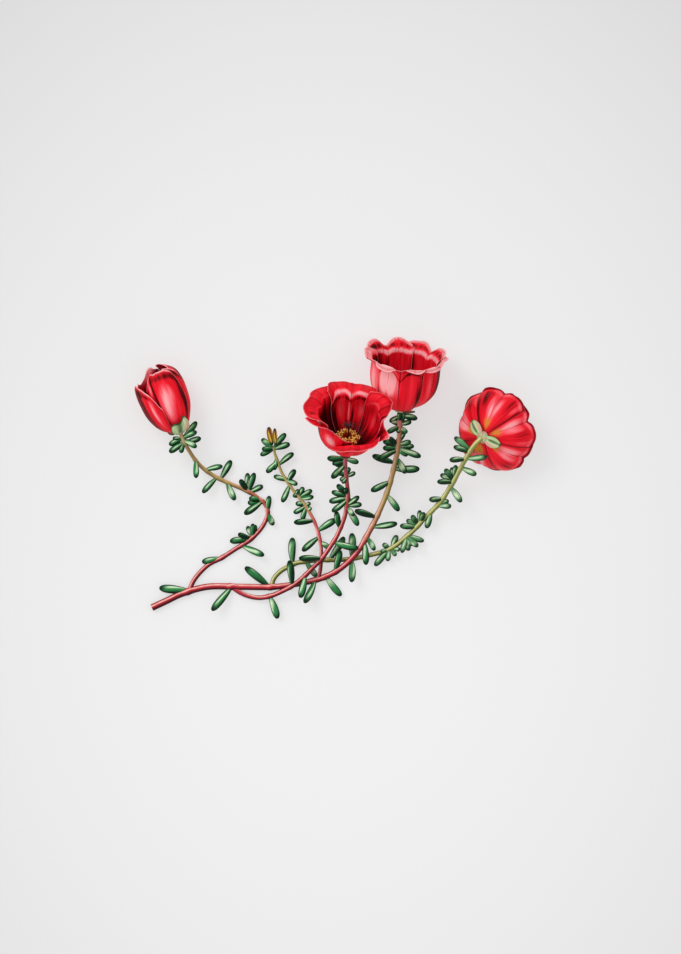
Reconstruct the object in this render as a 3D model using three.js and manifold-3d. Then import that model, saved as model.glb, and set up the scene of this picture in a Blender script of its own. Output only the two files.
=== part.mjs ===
// A cut sprig of portulaca (moss rose) laid on a flat surface: one main stem with four side
// branches, fleshy leaves singly and in axil tufts, four double-lobed crimson blooms and a pair of
// buds.  Millimetres, +Z up.  The sprig lies on z = 0, with the origin under the middle of its
// bounding box; the cut end of the stem points to -X -Y and the blooms lie towards +Y.
import * as THREE from 'three';
import { mergeVertices } from 'three/addons/utils/BufferGeometryUtils.js';
import Module from 'manifold-3d';

// ---------------------------------------------------------------- driving dimensions (mm, degrees)
const CLEARANCE = 0.3;            // air left between two pieces that touch on the plant
const SHORTEST_EDGE = 0.025;      // shorter edges, left where pieces are joined, are drawn together
const THINNEST_NEEDLE = 0.01;     // and triangles lower than this over their long edge are taken out
const NEEDLE_PASSES = 4;
const STEM = { sides: 6, step: 6, samples: 400 };
const LEAF = {
  widthAtZero: 1.9,               // a leaf is this wide plus a share of its length
  widthPerLength: 0.14,
  thickness: 0.62,                // share of the width
  droop: 0.1,                     // how far the tip hangs, as a share of the length
  bigFrom: 8.5,                   // leaves at least this long get one more ring of faces
  smallBelow: 5.2,                // and leaves shorter than this have three sides, not four
  bigOutline: [[0, 0.34], [0.3, 0.82], [0.66, 1], [0.92, 0.6]],   // [share of length, of half width]
  smallOutline: [[0, 0.4], [0.5, 1], [0.88, 0.68]],
  lifts: [8, 24, 14, 36, 4, 20],  // angles above the horizontal, taken in turn along a stem
};
const PETAL = {
  thickness: 0.7,
  clawHalfAngle: 30,              // half the angle that a petal spans, at its foot
  bladeHalfAngle: 44,             // and in its blade, unless the petal has a halfAngle of its own
  bladeFrom: 0.4,                 // share of the length at which the blade is at its full width
  lap: 0.8,                       // one edge runs this far outside the bloom's form, the other inside
  lapFrom: 0.03,
  lapFull: 0.25,
  notchWidth: 0.2,                // share of the half width
  across: [-1, -0.62, -0.24, 0, 0.24, 0.62, 1],
  along: [0, 0.14, 0.38, 0.65, 0.87, 1],
};
const CALYX = {
  footRadius: 1.3,
  rimRadius: 3.2,
  shoulder: 1.35,                 // height of the widest place of the cup under a bloom
  top: 1.75,
  rootOffset: 1.25,               // from the middle of the petals to the middle of a sepal, at its root
  sepalOffset: 1.9,               // and along the rest of it
  offsetFull: 0.08,               // share of the section over which it grows
  sepalThickness: 0.7,
  sepalHalfAngle: 46,
  sepalNarrowing: 0.86,
};
const COROLLA_DISC = { bottom: 2.1, top: 3.3, radius: 2.6 };
const STAMENS = {
  ringInner: 1.3,
  ringOuter: 2.5,
  bottom: 3.65,
  top: 4.3,
  inset: 0.3,                     // from the edges of the ring to the feet of the stamens
  innerReach: 2.2,                // how far out the innermost anthers stand
  innerHeight: 0.75,              // heights of the inner and outer anthers, as shares of the tallest
  outerHeight: 0.6,
  outline: [[0, 0.34], [0.78, 0.34], [0.9, 0.62]],      // [share of length, radius]
};
const PISTIL = {
  bottom: 3.65,
  style: [[0, 0.9], [0.12, 0.5], [0.97, 0.5]],
  arms: 7,
  armRoot: 0.15,                  // how far off the axis the arms start, inside the style
  armLength: 3.6,
  armDrop: 0.9,                   // the arms leave the style this far under its tip
  armRise: 0.8,                   // and end this far over it
  armTurn: 0.3,                   // share of the angle between two arms
  arm: [[0, 0.36], [0.85, 0.42]],
};
const BUD_OUTLINE = [[0, 0.5], [0.25, 0.92], [0.5, 1], [0.78, 0.75], [0.93, 0.4]];
const ROUND_SIDES = 8;            // faces round the small round pieces in a bloom

// Each stem: centreline from root to tip, radius at both ends, and its leaves.  A leaf is
// [distance from the root, direction, length, lift]: the distance and the direction are those seen
// from above (0 degrees is +X, 90 is +Y), and the lift is given only where it is not the usual one.
// A stem that carries a bloom runs on from its last point to the foot of that bloom.
const STEMS = {
  main_stem: {
    bloom: 'top',
    radius: [1.75, 1.2],
    route: [
      [-95.5, -65, 1.45], [-88, -61.5, 1.45], [-80.5, -58, 1.4], [-67.5, -54.5, 1.35], [-50.5, -54.5, 1.25],
      [-33.5, -54.5, 1.2], [-19.5, -52.5, 1.4], [-9.5, -50, 2.2], [0, -45, 3.2], [8.5, -36.5, 4.6],
      [14, -27, 5.2], [19, -17, 5.4], [23.5, -6, 5.6], [26.5, 5, 6.4], [28.5, 15, 7.8], [29.5, 25, 9.8],
    ],
    leaves: [
      [21, 174, 15.5], [42.5, -130, 15.5], [61.5, 141, 16], [85, -118, 12.5], [90.5, -50, 12.5],
      [95.5, 76, 11.5], [117.5, -87, 12], [120, -61, 8], [125.5, 9, 13], [131, 163, 11.5],
      [143.5, -54, 10.5], [150.5, -154, 11], [157, 1, 13], [160, 161, 12], [163, -59, 9.5],
      [166.5, -152, 11], [167, -32, 6], [167.5, 178, 7.5], [168, -22, 12.5], [168.5, 163, 8],
      [169, 95, 3.5], [169, 136, 6], [169, -3, 8], [169.5, 13, 6.5], [170, 60, 6.5],
      [178, -113, 3], [178.5, -43, 5], [179, -152, 7.5], [179, 147, 5.5], [179.5, 14, 6],
      [180, 63, 6], [180, 92, 6], [184, -150, 6, 0], [184, -12, 9, 0],
    ],
  },
  left_branch: {
    parent: 'main_stem',
    bloom: 'left',
    radius: [1.2, 1],
    route: [
      [-76.5, -56, 1.4], [-74.5, -51.5, 1.2], [-71, -47, 1.1], [-66.5, -43, 1], [-60.5, -40, 1],
      [-53.5, -35.5, 1], [-47, -31.5, 1], [-42, -27, 1], [-38.5, -22, 1], [-37, -17, 1],
      [-38.5, -12.5, 1], [-42, -9.5, 1], [-46.5, -6.5, 1.1], [-58, -1.5, 1.8], [-64, 1.5, 2.8],
      [-69, 5, 4.4], [-73, 9, 6.4], [-76, 13.5, 8.6], [-78.5, 18, 10.4],
    ],
    leaves: [
      [23.5, -169, 10], [35.5, -23, 12.5], [40.5, -174, 10], [41.5, 157, 7], [42, 114, 6.5],
      [42.5, 92, 7], [42.5, 79, 6.5], [57.5, -64, 7], [57.5, 84, 8.5], [64, -145, 11],
      [64, -175, 7.5], [64.5, 170, 6.5], [72, 25, 7.5], [72.5, 73, 10], [73, 78, 7.5],
      [73, 122, 7], [73.5, 88, 9], [84.5, -64, 10], [88, 61, 11], [90, -132, 10.5],
      [97, 11, 9], [104, -88, 9], [114, 17, 8.5], [114.5, -145, 9], [115.5, -100, 6.5],
      [116, -32, 8], [116.5, -154, 7.5], [116.5, 23, 8], [116.5, 52, 11], [116.5, 177, 5],
    ],
  },
  front_branch: {
    parent: 'main_stem',
    bloom: 'front',
    radius: [1.25, 1.05],
    route: [
      [-55, -54.5, 1.4], [-51.5, -57, 1.5], [-47, -59, 1.6], [-41.5, -60, 1.9], [-35.5, -59, 3],
      [-29.5, -56.5, 4.6], [-24, -53.5, 5.4], [-19, -49.5, 6.2], [-14.5, -45, 6.8], [-10, -40.5, 7],
      [-6, -35, 7], [-2.5, -29.5, 7.2], [0, -24, 7.6], [2, -18.5, 8.2], [3, -13, 9], [3.5, -7.5, 10],
      [3, -2.5, 11.4], [2.5, 2.5, 13], [2, 8, 14.8],
    ],
    leaves: [
      [20.5, -72, 12], [33, 97, 13], [41.5, -103, 11.5], [53.5, 179, 11.5], [63.5, -12, 13],
      [71, 100, 9], [82.5, -60, 11], [83, -54, 6], [83.5, 4, 7.5], [83.5, 38, 7.5],
      [83.5, 66, 4], [86.5, -143, 10], [87, -169, 9.5], [88, 135, 8], [88, 163, 8.5],
      [88.5, 105, 4], [98, 27, 5], [98, -116, 4], [98.5, -142, 4], [99, 62, 4],
      [99, 167, 4.5], [104, -135, 9.5], [105, -162, 5], [105.5, -171, 6.5], [107, -17, 7],
      [107, 177, 9],
    ],
  },
  bud_branch: {
    parent: 'main_stem',
    buds: ['bud_large', 'bud_small'],
    radius: [1.05, 0.65],
    route: [
      [-11.5, -50.5, 2.1], [-10.5, -46, 2.8], [-10, -40.5, 4], [-10, -35.5, 3.9], [-11, -29.5, 3.2],
      [-12.5, -24, 2.6], [-15.5, -17.5, 2.3], [-19, -12, 2.2], [-23.5, -6.5, 2.2], [-27, -1.5, 2.4],
      [-30, 3.5, 2.8], [-32, 9, 3.2], [-33.5, 13, 3.6], [-34, 16, 4],
    ],
    leaves: [
      [19, -36, 6], [21.5, -139, 11], [24.5, 32, 11], [30, -176, 10], [38, -105, 7],
      [38, -32, 3], [38.5, -153, 7], [38.5, 39, 3], [39, 168, 5], [43.5, 8, 7],
      [44, 31, 7.5], [44.5, 159, 3], [44.5, 65, 5.5], [45, 95, 3.5], [52, -114, 9.5],
      [53.5, 58, 7.5], [54.5, 162, 7], [56, -26, 7], [63.5, 37, 9.5], [65.5, -135, 8],
      [67, -103, 6], [72, 17, 8.5, 10], [72, -155, 7.5, 10], [72.5, 50, 9.5, 0], [72, 140, 8, 0],
      [72, 178, 6, 25],
    ],
  },
  right_branch: {
    parent: 'main_stem',
    bloom: 'right',
    radius: [1.2, 1.15],
    route: [
      [-35, -54, 1.2], [-34, -50.5, 1.1], [-31, -47, 1], [-27, -44.5, 1], [-22.5, -42.5, 1],
      [-16.5, -41.5, 1], [-10, -41, 1], [4.5, -40.5, 1.1], [16.5, -38, 1.4], [22, -36.5, 1.8],
      [27, -34, 2.4], [32, -30, 3.2], [37, -25.5, 4.2], [41.5, -20.5, 5.2], [46, -16, 6.2],
      [50.5, -11, 7.6], [54, -5.5, 9.6], [57.5, 0.5, 12.6], [60.5, 6.5, 16.6], [64, 13, 20.8],
      [67, 17.5, 24.6],
    ],
    leaves: [
      [16, 89, 13.5], [22.5, -54, 9.5], [34.5, 58, 14], [46, -92, 11.5], [46, 91, 13],
      [65.5, -162, 4.5], [65.5, -131, 11], [65.5, -98, 6], [66, 143, 4.5], [66.5, -57, 4.5],
      [67, 66, 7], [67.5, -21, 4], [76, -80, 7], [76.5, -107, 8.5], [76.5, -63, 5.5],
      [77, -44, 7.5], [77.5, -19, 8.5], [83.5, 174, 8.5], [84.5, 152, 6.5], [85, 124, 6],
      [85.5, 91, 7], [86.5, 72, 5.5], [94, -107, 8.5], [98.5, -4, 7], [100, 17, 5],
      [103, -178, 7], [110, -56, 9.5], [112.5, 178, 8], [113.5, 155, 7.5], [113.5, 130, 7.5],
      [114, 105, 6.5], [114.5, 86, 7], [121, -26, 8.5], [125.5, -176, 8], [126, 6, 10.5, 28],
      [129.5, 161, 8.5], [130.5, 141, 10.5],
    ],
  },
};

// Each bloom: its foot, the direction that it opens in, the section of its cup from the foot to the
// rim as [radius, height], and its five petals.  A petal's azimuth turns about the bloom's own axis;
// its spread leans the whole rim outwards, and its flare only the rim near its first and last edge.
const BLOOMS = {
  left: {
    foot: [-80.5, 22.5, 10.8],
    axis: [-0.38, 0.92, 0.05],
    section: [
      [1.2, 2.7], [5.5, 3.6], [9, 8], [11.3, 13.5], [12.1, 19], [12.2, 25.5], [10.9, 31.3], [8, 34.4],
      [4.5, 35.8],
    ],
    notch: 0.03,
    roundness: 0.16,
    petals: [
      { azimuth: 279, length: 0.9, halfAngle: 50 }, { azimuth: 210, length: 0.82 },
      { azimuth: 318, length: 0.94, halfAngle: 36 }, { azimuth: 30, halfAngle: 52 },
      { azimuth: 137, length: 0.92, halfAngle: 52 },
    ],
    sepals: { azimuths: [290, 110], length: 0.24 },
    stamens: { count: 8, height: 7, reach: 3.2 },
    style: 11,
  },
  front: {
    foot: [2.5, 13.5, 16.6],
    axis: [0.08, 0.76, 0.65],
    section: [
      [1.2, 2.7], [5, 3.6], [10, 7], [13.6, 12.5], [15, 18], [15.3, 22.5], [16.4, 25.4], [19.5, 26.8],
      [23, 26.6],
    ],
    notch: 0.05,
    roundness: 0.08,
    petals: [
      { azimuth: 87, length: 0.96 }, { azimuth: 160, length: 0.97, halfAngle: 54 },
      { azimuth: 229, length: 0.76, flare: [3, 0] }, { azimuth: 284, length: 0.75, spread: 2.5 },
      { azimuth: 12, length: 0.9, flare: [16, 0] },
    ],
    sepals: { azimuths: [264, 84], length: 0.2 },
    stamens: { count: 22, height: 9.5, reach: 5.8 },
    style: 14,
  },
  top: {
    foot: [29.5, 33.6, 10.4],
    axis: [0.09, 0.93, 0.36],
    section: [
      [1.2, 2.7], [6.6, 3.8], [11.6, 6.9], [15.4, 12], [16.8, 17.5], [17, 23], [17.2, 27], [18.8, 29.8],
      [21.4, 30.8],
    ],
    notch: 0.08,
    roundness: 0.07,
    petals: [{ azimuth: 262 }, { azimuth: 334 }, { azimuth: 46 }, { azimuth: 118 }, { azimuth: 190 }],
    sepals: { azimuths: [330, 150], length: 0.17 },
    stamens: { count: 12, height: 8, reach: 5 },
    style: 14,
  },
  right: {
    foot: [70, 20.5, 25.6],
    axis: [0.45, 0.22, -0.87],
    section: [
      [1.2, 2.7], [6.5, 3.2], [12.5, 5.8], [16.8, 10], [19, 14.5], [20.1, 17.4], [21.2, 18.4],
    ],
    notch: 0.08,
    roundness: 0.12,
    petals: [{ azimuth: -94 }, { azimuth: -22 }, { azimuth: 50 }, { azimuth: 122 }, { azimuth: 194 }],
    sepals: { azimuths: [-140, 10], length: 0.32 },
    stamens: { count: 12, height: 8, reach: 5 },
    style: 12,
  },
};
const BUDS = {
  bud_large: { foot: [-34.9, 17.2, 5.4], axis: [-0.17, 1, 0.3], length: 9.4, width: 3 },
  bud_small: { foot: [-33, 17, 6.2], axis: [-0.04, 1, 0.45], length: 9.2, width: 2.2 },
};
const MIDDLE = [3.5, 0.25];       // moves the sprig so that the origin is under its middle
const FLOOR = { width: 400, depth: 300, height: 40 };
const UP = new THREE.Vector3(0, 0, 1);
const EAST = new THREE.Vector3(1, 0, 0);
const RING_TURN = { 3: 0.75, 4: 0.5 };   // share of a side that sets a ring of few sides level

// ---------------------------------------------------------------- finishes
const finish = (color, roughness) => new THREE.MeshStandardMaterial({ color, roughness, metalness: 0 });
const LEAF_GREEN = finish('#4f9162', 0.42);
const PETAL_CRIMSON = finish('#cc1230', 0.5);
const SEPAL_GREEN = finish('#a9c98c', 0.5);
const STAMEN_GOLD = finish('#e2992c', 0.6);
const PISTIL_MAROON = finish('#3a0712', 0.5);
const BUD_OLIVE = finish('#9a7a3a', 0.5);

// ---------------------------------------------------------------- solids
const wasm = await Module();
wasm.setup();

/** A closed geometry as a solid that can be joined and cut. */
function toSolid(geometry) {
  const bare = geometry.clone();
  bare.deleteAttribute('normal');
  bare.deleteAttribute('uv');
  const merged = mergeVertices(bare, 1e-4);
  return new wasm.Manifold(new wasm.Mesh({
    numProp: 3,
    vertProperties: new Float32Array(merged.attributes.position.array),
    triVerts: new Uint32Array(merged.index.array),
    tolerance: SHORTEST_EDGE,
  }));
}

/** The triangles left once the ends of every edge too short to matter are drawn together. */
function withoutShortEdges(points, triangles) {
  const home = points.map((_, i) => i);
  const find = (i) => (home[i] === i ? i : find(home[i]));
  triangles.forEach((corners) => corners.forEach((a, k) => {
    const b = corners[(k + 1) % 3];
    if (points[find(a)].distanceTo(points[find(b)]) < SHORTEST_EDGE) home[find(b)] = find(a);
  }));
  return triangles
    .map((corners) => corners.map(find))
    .filter(([a, b, c]) => a !== b && b !== c && c !== a);
}

/** The same skin with the long edge of each needle-thin triangle turned to the other diagonal. */
function withoutNeedles(points, triangles) {
  const kept = triangles.map((corners) => [...corners]);
  const span = (a, b) => points[a].distanceTo(points[b]);
  const height = ([a, b, c]) => {
    const area = new THREE.Triangle(points[a], points[b], points[c]).getArea();
    return (2 * area) / Math.max(span(a, b), span(b, c), span(c, a));
  };
  const owners = new Map();
  const claim = (index) => kept[index].forEach((a, k) => {
    owners.set(`${a} ${kept[index][(k + 1) % 3]}`, index);
  });
  kept.forEach((_, index) => claim(index));
  for (let pass = 0; pass < NEEDLE_PASSES; pass += 1) {
    kept.forEach((corners, index) => {
      if (height(corners) >= THINNEST_NEEDLE) return;
      const [a, b, c] = [0, 1, 2]
        .map((k) => [corners[k], corners[(k + 1) % 3], corners[(k + 2) % 3]])
        .sort((p, q) => span(q[0], q[1]) - span(p[0], p[1]))[0];
      const beyond = owners.get(`${b} ${a}`);
      const d = kept[beyond].find((corner) => corner !== a && corner !== b);
      const turned = [[a, d, c], [d, b, c]];
      const worst = Math.min(height(corners), height(kept[beyond]));
      if (owners.has(`${c} ${d}`) || owners.has(`${d} ${c}`)) return;
      if (Math.min(...turned.map(height)) <= worst) return;
      owners.delete(`${a} ${b}`);
      owners.delete(`${b} ${a}`);
      [kept[index], kept[beyond]] = turned;
      claim(index);
      claim(beyond);
    });
  }
  return kept;
}

/** A joined solid as a geometry, without the slivers that joining leaves. */
function toGeometry(solid) {
  const mesh = solid.getMesh();
  const points = [];
  for (let i = 0; i < mesh.vertProperties.length; i += 3) {
    points.push(new THREE.Vector3().fromArray(mesh.vertProperties, i));
  }
  const triangles = [];
  for (let i = 0; i < mesh.triVerts.length; i += 3) triangles.push([...mesh.triVerts.slice(i, i + 3)]);
  const sound = withoutNeedles(points, withoutShortEdges(points, triangles));
  return closedGeometry(points, sound.flat());
}

const join = (geometries) => geometries.map(toSolid).reduce((whole, piece) => whole.add(piece));

/** Everything under the surface that the sprig lies on, seen from a turned frame. */
function underFloor(frame = new THREE.Matrix4()) {
  const box = new THREE.BoxGeometry(FLOOR.width, FLOOR.depth, FLOOR.height);
  box.translate(0, 0, -FLOOR.height / 2);
  return toSolid(box.applyMatrix4(frame.clone().invert()));
}

/** A geometry from a list of points and the triangles between them. */
function closedGeometry(points, triangles) {
  const geometry = new THREE.BufferGeometry();
  geometry.setAttribute('position', new THREE.Float32BufferAttribute(points.flatMap((p) => p.toArray()), 3));
  geometry.setIndex(triangles);
  return geometry;
}

/** A skin over rings of equally many points, closed at both ends by a fan of triangles. */
function loft(rings, startPoint, endPoint) {
  const sides = rings[0].length;
  const points = rings.flat();
  const triangles = [];
  rings.slice(1).forEach((ring, level) => {
    for (let i = 0; i < sides; i += 1) {
      const a = level * sides + i;
      const b = level * sides + ((i + 1) % sides);
      triangles.push(a, b, a + sides, b, b + sides, a + sides);
    }
  });
  const start = points.push(startPoint) - 1;
  const end = points.push(endPoint) - 1;
  const last = (rings.length - 1) * sides;
  for (let i = 0; i < sides; i += 1) {
    const next = (i + 1) % sides;
    triangles.push(start, next, i, end, last + i, last + next);
  }
  return closedGeometry(points, triangles);
}

/** Points of an ellipse round a centre, counter-clockwise as seen against the direction of travel. */
function ring(centre, direction, halfWidth, halfThickness, sides) {
  const upright = Math.abs(direction.z) > 0.98;
  const side = new THREE.Vector3().crossVectors(direction, upright ? EAST : UP).normalize();
  const up = new THREE.Vector3().crossVectors(side, direction).normalize();
  const turn = RING_TURN[sides] ?? 0;
  return Array.from({ length: sides }, (_, i) => {
    const angle = (Math.PI * 2 * (i + turn)) / sides;
    return centre.clone()
      .addScaledVector(side, halfWidth * Math.cos(angle))
      .addScaledVector(up, -halfThickness * Math.sin(angle));
  });
}

// ---------------------------------------------------------------- leafy stems
const radians = THREE.MathUtils.degToRad;
const smooth = THREE.MathUtils.smoothstep;
const mix = THREE.MathUtils.lerp;

/** The centreline of a stem, with distances along it measured as seen from above. */
class Centreline {
  constructor(stem) {
    const route = stem.bloom ? [...stem.route, BLOOMS[stem.bloom].foot] : stem.route;
    this.curve = new THREE.CatmullRomCurve3(route.map((p) => new THREE.Vector3(...p)));
    this.samples = this.curve.getSpacedPoints(STEM.samples);
    this.reach = [0];
    this.samples.slice(1).forEach((p, i) => {
      const before = this.samples[i];
      this.reach.push(this.reach[i] + Math.hypot(p.x - before.x, p.y - before.y));
    });
  }

  pointAt(distance) {
    const found = this.reach.findIndex((r) => r >= distance);
    return this.samples[found < 0 ? this.samples.length - 1 : found].clone();
  }
}

/** A round stem that tapers from root to tip; spare is added all round. */
function stemGeometry(stem, spare = 0) {
  const { curve } = new Centreline(stem);
  const count = Math.round(curve.getLength() / STEM.step);
  const rings = [];
  for (let i = 0; i <= count; i += 1) {
    const t = i / count;
    const radius = mix(stem.radius[0], stem.radius[1], t) + spare;
    rings.push(ring(curve.getPointAt(t), curve.getTangentAt(t), radius, radius, STEM.sides));
  }
  return loft(rings, curve.getPointAt(0), curve.getPointAt(1));
}

/** A fleshy leaf: a narrow foot, widest past the middle, with a blunt tip. */
function leafGeometry(foot, direction, length, lift) {
  const outline = length >= LEAF.bigFrom ? LEAF.bigOutline : LEAF.smallOutline;
  const sides = length < LEAF.smallBelow ? 3 : 4;
  const halfWidth = (LEAF.widthAtZero + LEAF.widthPerLength * length) / 2;
  const heading = radians(direction);
  const reach = length / Math.cos(radians(lift));
  const along = new THREE.Vector3(Math.cos(heading), Math.sin(heading), Math.tan(radians(lift))).normalize();
  const centre = (t) => foot.clone()
    .addScaledVector(along, reach * t)
    .addScaledVector(UP, -LEAF.droop * length * t * t);
  const rings = outline.map(([t, share]) => {
    const ahead = centre(t + 0.05).sub(centre(t)).normalize();
    return ring(centre(t), ahead, halfWidth * share, halfWidth * share * LEAF.thickness, sides);
  });
  return loft(rings, centre(0), centre(1));
}

/** The leaves of a stem, each rooted on its centreline. */
function leafGeometries(stem) {
  const centreline = new Centreline(stem);
  return stem.leaves.map(([at, direction, length, lift], i) => (
    leafGeometry(centreline.pointAt(at), direction, length, lift ?? LEAF.lifts[i % LEAF.lifts.length])
  ));
}

/** A stem with its leaves grown into it, cut clear of what carries it and of the bloom on its end. */
function leafyStem(name) {
  const stem = STEMS[name];
  let solid = join([stemGeometry(stem), ...leafGeometries(stem)]).subtract(underFloor());
  if (stem.parent) {
    solid = solid.subtract(toSolid(stemGeometry(STEMS[stem.parent], CLEARANCE)));
  }
  if (stem.bloom) {
    const cup = calyxCup(CLEARANCE).applyMatrix4(bloomFrame(BLOOMS[stem.bloom]));
    solid = solid.subtract(toSolid(cup));
  }
  (stem.buds ?? []).forEach((budName) => {
    solid = solid.subtract(toSolid(budGeometry(budName, CLEARANCE)));
  });
  const mesh = new THREE.Mesh(toGeometry(solid), LEAF_GREEN);
  mesh.name = name;
  return mesh;
}

// ---------------------------------------------------------------- blooms
/** The frame of a bloom: its height runs along its axis, and azimuth 0 leans to +X. */
function bloomFrame(bloom) {
  const axis = new THREE.Vector3(...bloom.axis).normalize();
  const right = new THREE.Vector3(1, 0, 0).addScaledVector(axis, -axis.x).normalize();
  const back = new THREE.Vector3().crossVectors(axis, right);
  return new THREE.Matrix4().makeBasis(right, back, axis).setPosition(...bloom.foot);
}

/** The section of a bloom as a curve of radius and height. */
const sectionCurve = (bloom) => new THREE.SplineCurve(bloom.section.map((p) => new THREE.Vector2(...p)));

/** A point of the section, moved outwards at right angles to it. */
function sectionPoint(curve, share, offset) {
  const point = curve.getPointAt(Math.min(share, 1));
  const ahead = curve.getTangentAt(Math.min(share, 1));
  return new THREE.Vector2(point.x + ahead.y * offset, point.y - ahead.x * offset);
}

const onCup = (radius, angle, height) => (
  new THREE.Vector3(radius * Math.cos(angle), radius * Math.sin(angle), height)
);

/** A thin waved blade over a surface, split alike into triangles on both faces. */
function blade(surface, across, along, thickness) {
  const small = 1e-3;
  const normal = (u, v) => {
    const du = surface(Math.min(u + small, 1), v).sub(surface(Math.max(u - small, 0), v));
    const dv = surface(u, v + small).sub(surface(u, v - small));
    return du.cross(dv).normalize();
  };
  const points = [];
  [0.5, -0.5].forEach((face) => along.forEach((u) => across.forEach((v) => {
    points.push(surface(u, v).addScaledVector(normal(u, v), face * thickness));
  })));
  const columns = across.length;
  const faceSize = columns * along.length;
  const triangles = [];
  for (let i = 0; i < along.length - 1; i += 1) {
    for (let j = 0; j < columns - 1; j += 1) {
      const a = i * columns + j;
      const [b, c, d] = [a + 1, a + columns, a + columns + 1];
      triangles.push(a, c, b, b, c, d);
      triangles.push(a + faceSize, b + faceSize, c + faceSize, b + faceSize, d + faceSize, c + faceSize);
    }
  }
  const edge = [];
  for (let j = 0; j < columns; j += 1) edge.push(j);
  for (let i = 1; i < along.length; i += 1) edge.push(i * columns + columns - 1);
  for (let j = columns - 2; j >= 0; j -= 1) edge.push((along.length - 1) * columns + j);
  for (let i = along.length - 2; i > 0; i -= 1) edge.push(i * columns);
  edge.forEach((a, k) => {
    const b = edge[(k + 1) % edge.length];
    triangles.push(a, b, a + faceSize, b, b + faceSize, a + faceSize);
  });
  return closedGeometry(points, triangles);
}

/** One petal with a narrow claw, a blade of two lobes and one edge lapped over the next petal. */
function petalGeometry(bloom, petal) {
  const curve = sectionCurve(bloom);
  const surface = (u, v) => {
    const dent = bloom.notch * Math.exp(-((v / PETAL.notchWidth) ** 2));
    const share = u * (1 - dent - bloom.roundness * v ** 4) * (petal.length ?? 1);
    const blade = petal.halfAngle ?? PETAL.bladeHalfAngle;
    const halfAngle = mix(PETAL.clawHalfAngle, blade, smooth(share, 0, PETAL.bladeFrom));
    const point = sectionPoint(curve, share, PETAL.lap * v * smooth(share, PETAL.lapFrom, PETAL.lapFull));
    const [first, last] = petal.flare ?? [0, 0];
    const flare = (v < 0 ? first : last) * v * v + (petal.spread ?? 0);
    return onCup(point.x + flare * share * share, radians(petal.azimuth + v * halfAngle), point.y);
  };
  return blade(surface, PETAL.across, PETAL.along, PETAL.thickness);
}

/** A round piece about the bloom's axis, from points of radius and height. */
const lathe = (profile) => {
  const geometry = new THREE.LatheGeometry(profile.map((p) => new THREE.Vector2(...p)), ROUND_SIDES);
  return geometry.rotateX(Math.PI / 2);
};

/** The petals of a bloom on the small disc that holds their claws. */
function corollaGeometries(bloom) {
  const { bottom, top, radius } = COROLLA_DISC;
  const disc = lathe([[0, bottom], [radius, bottom], [radius, top], [0, top]]);
  return [disc, ...bloom.petals.map((petal) => petalGeometry(bloom, petal))];
}

/** The cup under a bloom, spare larger all round. */
function calyxCup(spare = 0) {
  return lathe([
    [0, -spare], [CALYX.footRadius + spare, -spare], [CALYX.rimRadius + spare, CALYX.shoulder],
    [CALYX.rimRadius + spare, CALYX.top + spare], [0, CALYX.top + spare],
  ]);
}

/** A sepal that hugs the outside of the petals, pointed at the tip. */
function sepalGeometry(bloom, azimuth) {
  const curve = sectionCurve(bloom);
  const surface = (u, v) => {
    const share = u * bloom.sepals.length;
    const offset = mix(CALYX.rootOffset, CALYX.sepalOffset, smooth(share, 0, CALYX.offsetFull));
    const point = sectionPoint(curve, share, offset);
    const halfAngle = CALYX.sepalHalfAngle * (1 - CALYX.sepalNarrowing * u * u);
    return onCup(point.x, radians(azimuth + v * halfAngle), point.y);
  };
  return blade(surface, [-1, 0, 1], [0, 0.35, 0.7, 1], CALYX.sepalThickness);
}

/** The cup under a bloom with its pair of sepals. */
function calyxGeometries(bloom) {
  return [calyxCup(), ...bloom.sepals.azimuths.map((azimuth) => sepalGeometry(bloom, azimuth))];
}

/** A slim straight piece from one point to another, thicker towards its tip. */
function club(from, to, outline, sides) {
  const direction = to.clone().sub(from).normalize();
  const rings = outline.map(([t, radius]) => (
    ring(from.clone().lerp(to, t), direction, radius, radius, sides)
  ));
  return loft(rings, from, to);
}

/** Stamens in rings round the style, set by the golden angle, on a low ring that holds them. */
function stamenGeometries(bloom) {
  const { count, height, reach } = bloom.stamens;
  const { ringInner, ringOuter, bottom, top, inset, innerReach, innerHeight, outerHeight } = STAMENS;
  const goldenAngle = Math.PI * (3 - Math.sqrt(5));
  const base = lathe([
    [ringInner, bottom], [ringOuter, bottom], [ringOuter, top], [ringInner, top], [ringInner, bottom],
  ]);
  const stamens = Array.from({ length: count }, (_, i) => {
    const out = Math.sqrt((i + 0.5) / count);
    const angle = i * goldenAngle;
    const from = onCup(mix(ringInner + inset, ringOuter - inset, out), angle, (bottom + top) / 2);
    const tall = top + height * mix(innerHeight, outerHeight, out);
    return club(from, onCup(mix(innerReach, reach, out), angle, tall), STAMENS.outline, 3);
  });
  return [base, ...stamens];
}

/** The ovary's tip, the style and the spread arms of the stigma. */
function pistilGeometries(bloom) {
  const { bottom, arms, armRoot, armLength, armDrop, armRise, armTurn } = PISTIL;
  const tip = new THREE.Vector3(0, 0, bottom + bloom.style);
  const style = club(new THREE.Vector3(0, 0, bottom), tip, PISTIL.style, 5);
  const lobes = Array.from({ length: arms }, (_, i) => {
    const angle = (Math.PI * 2 * (i + armTurn)) / arms;
    const start = onCup(armRoot, angle, tip.z - armDrop);
    return club(start, onCup(armLength, angle, tip.z + armRise), PISTIL.arm, 3);
  });
  return [style, ...lobes];
}

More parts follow.
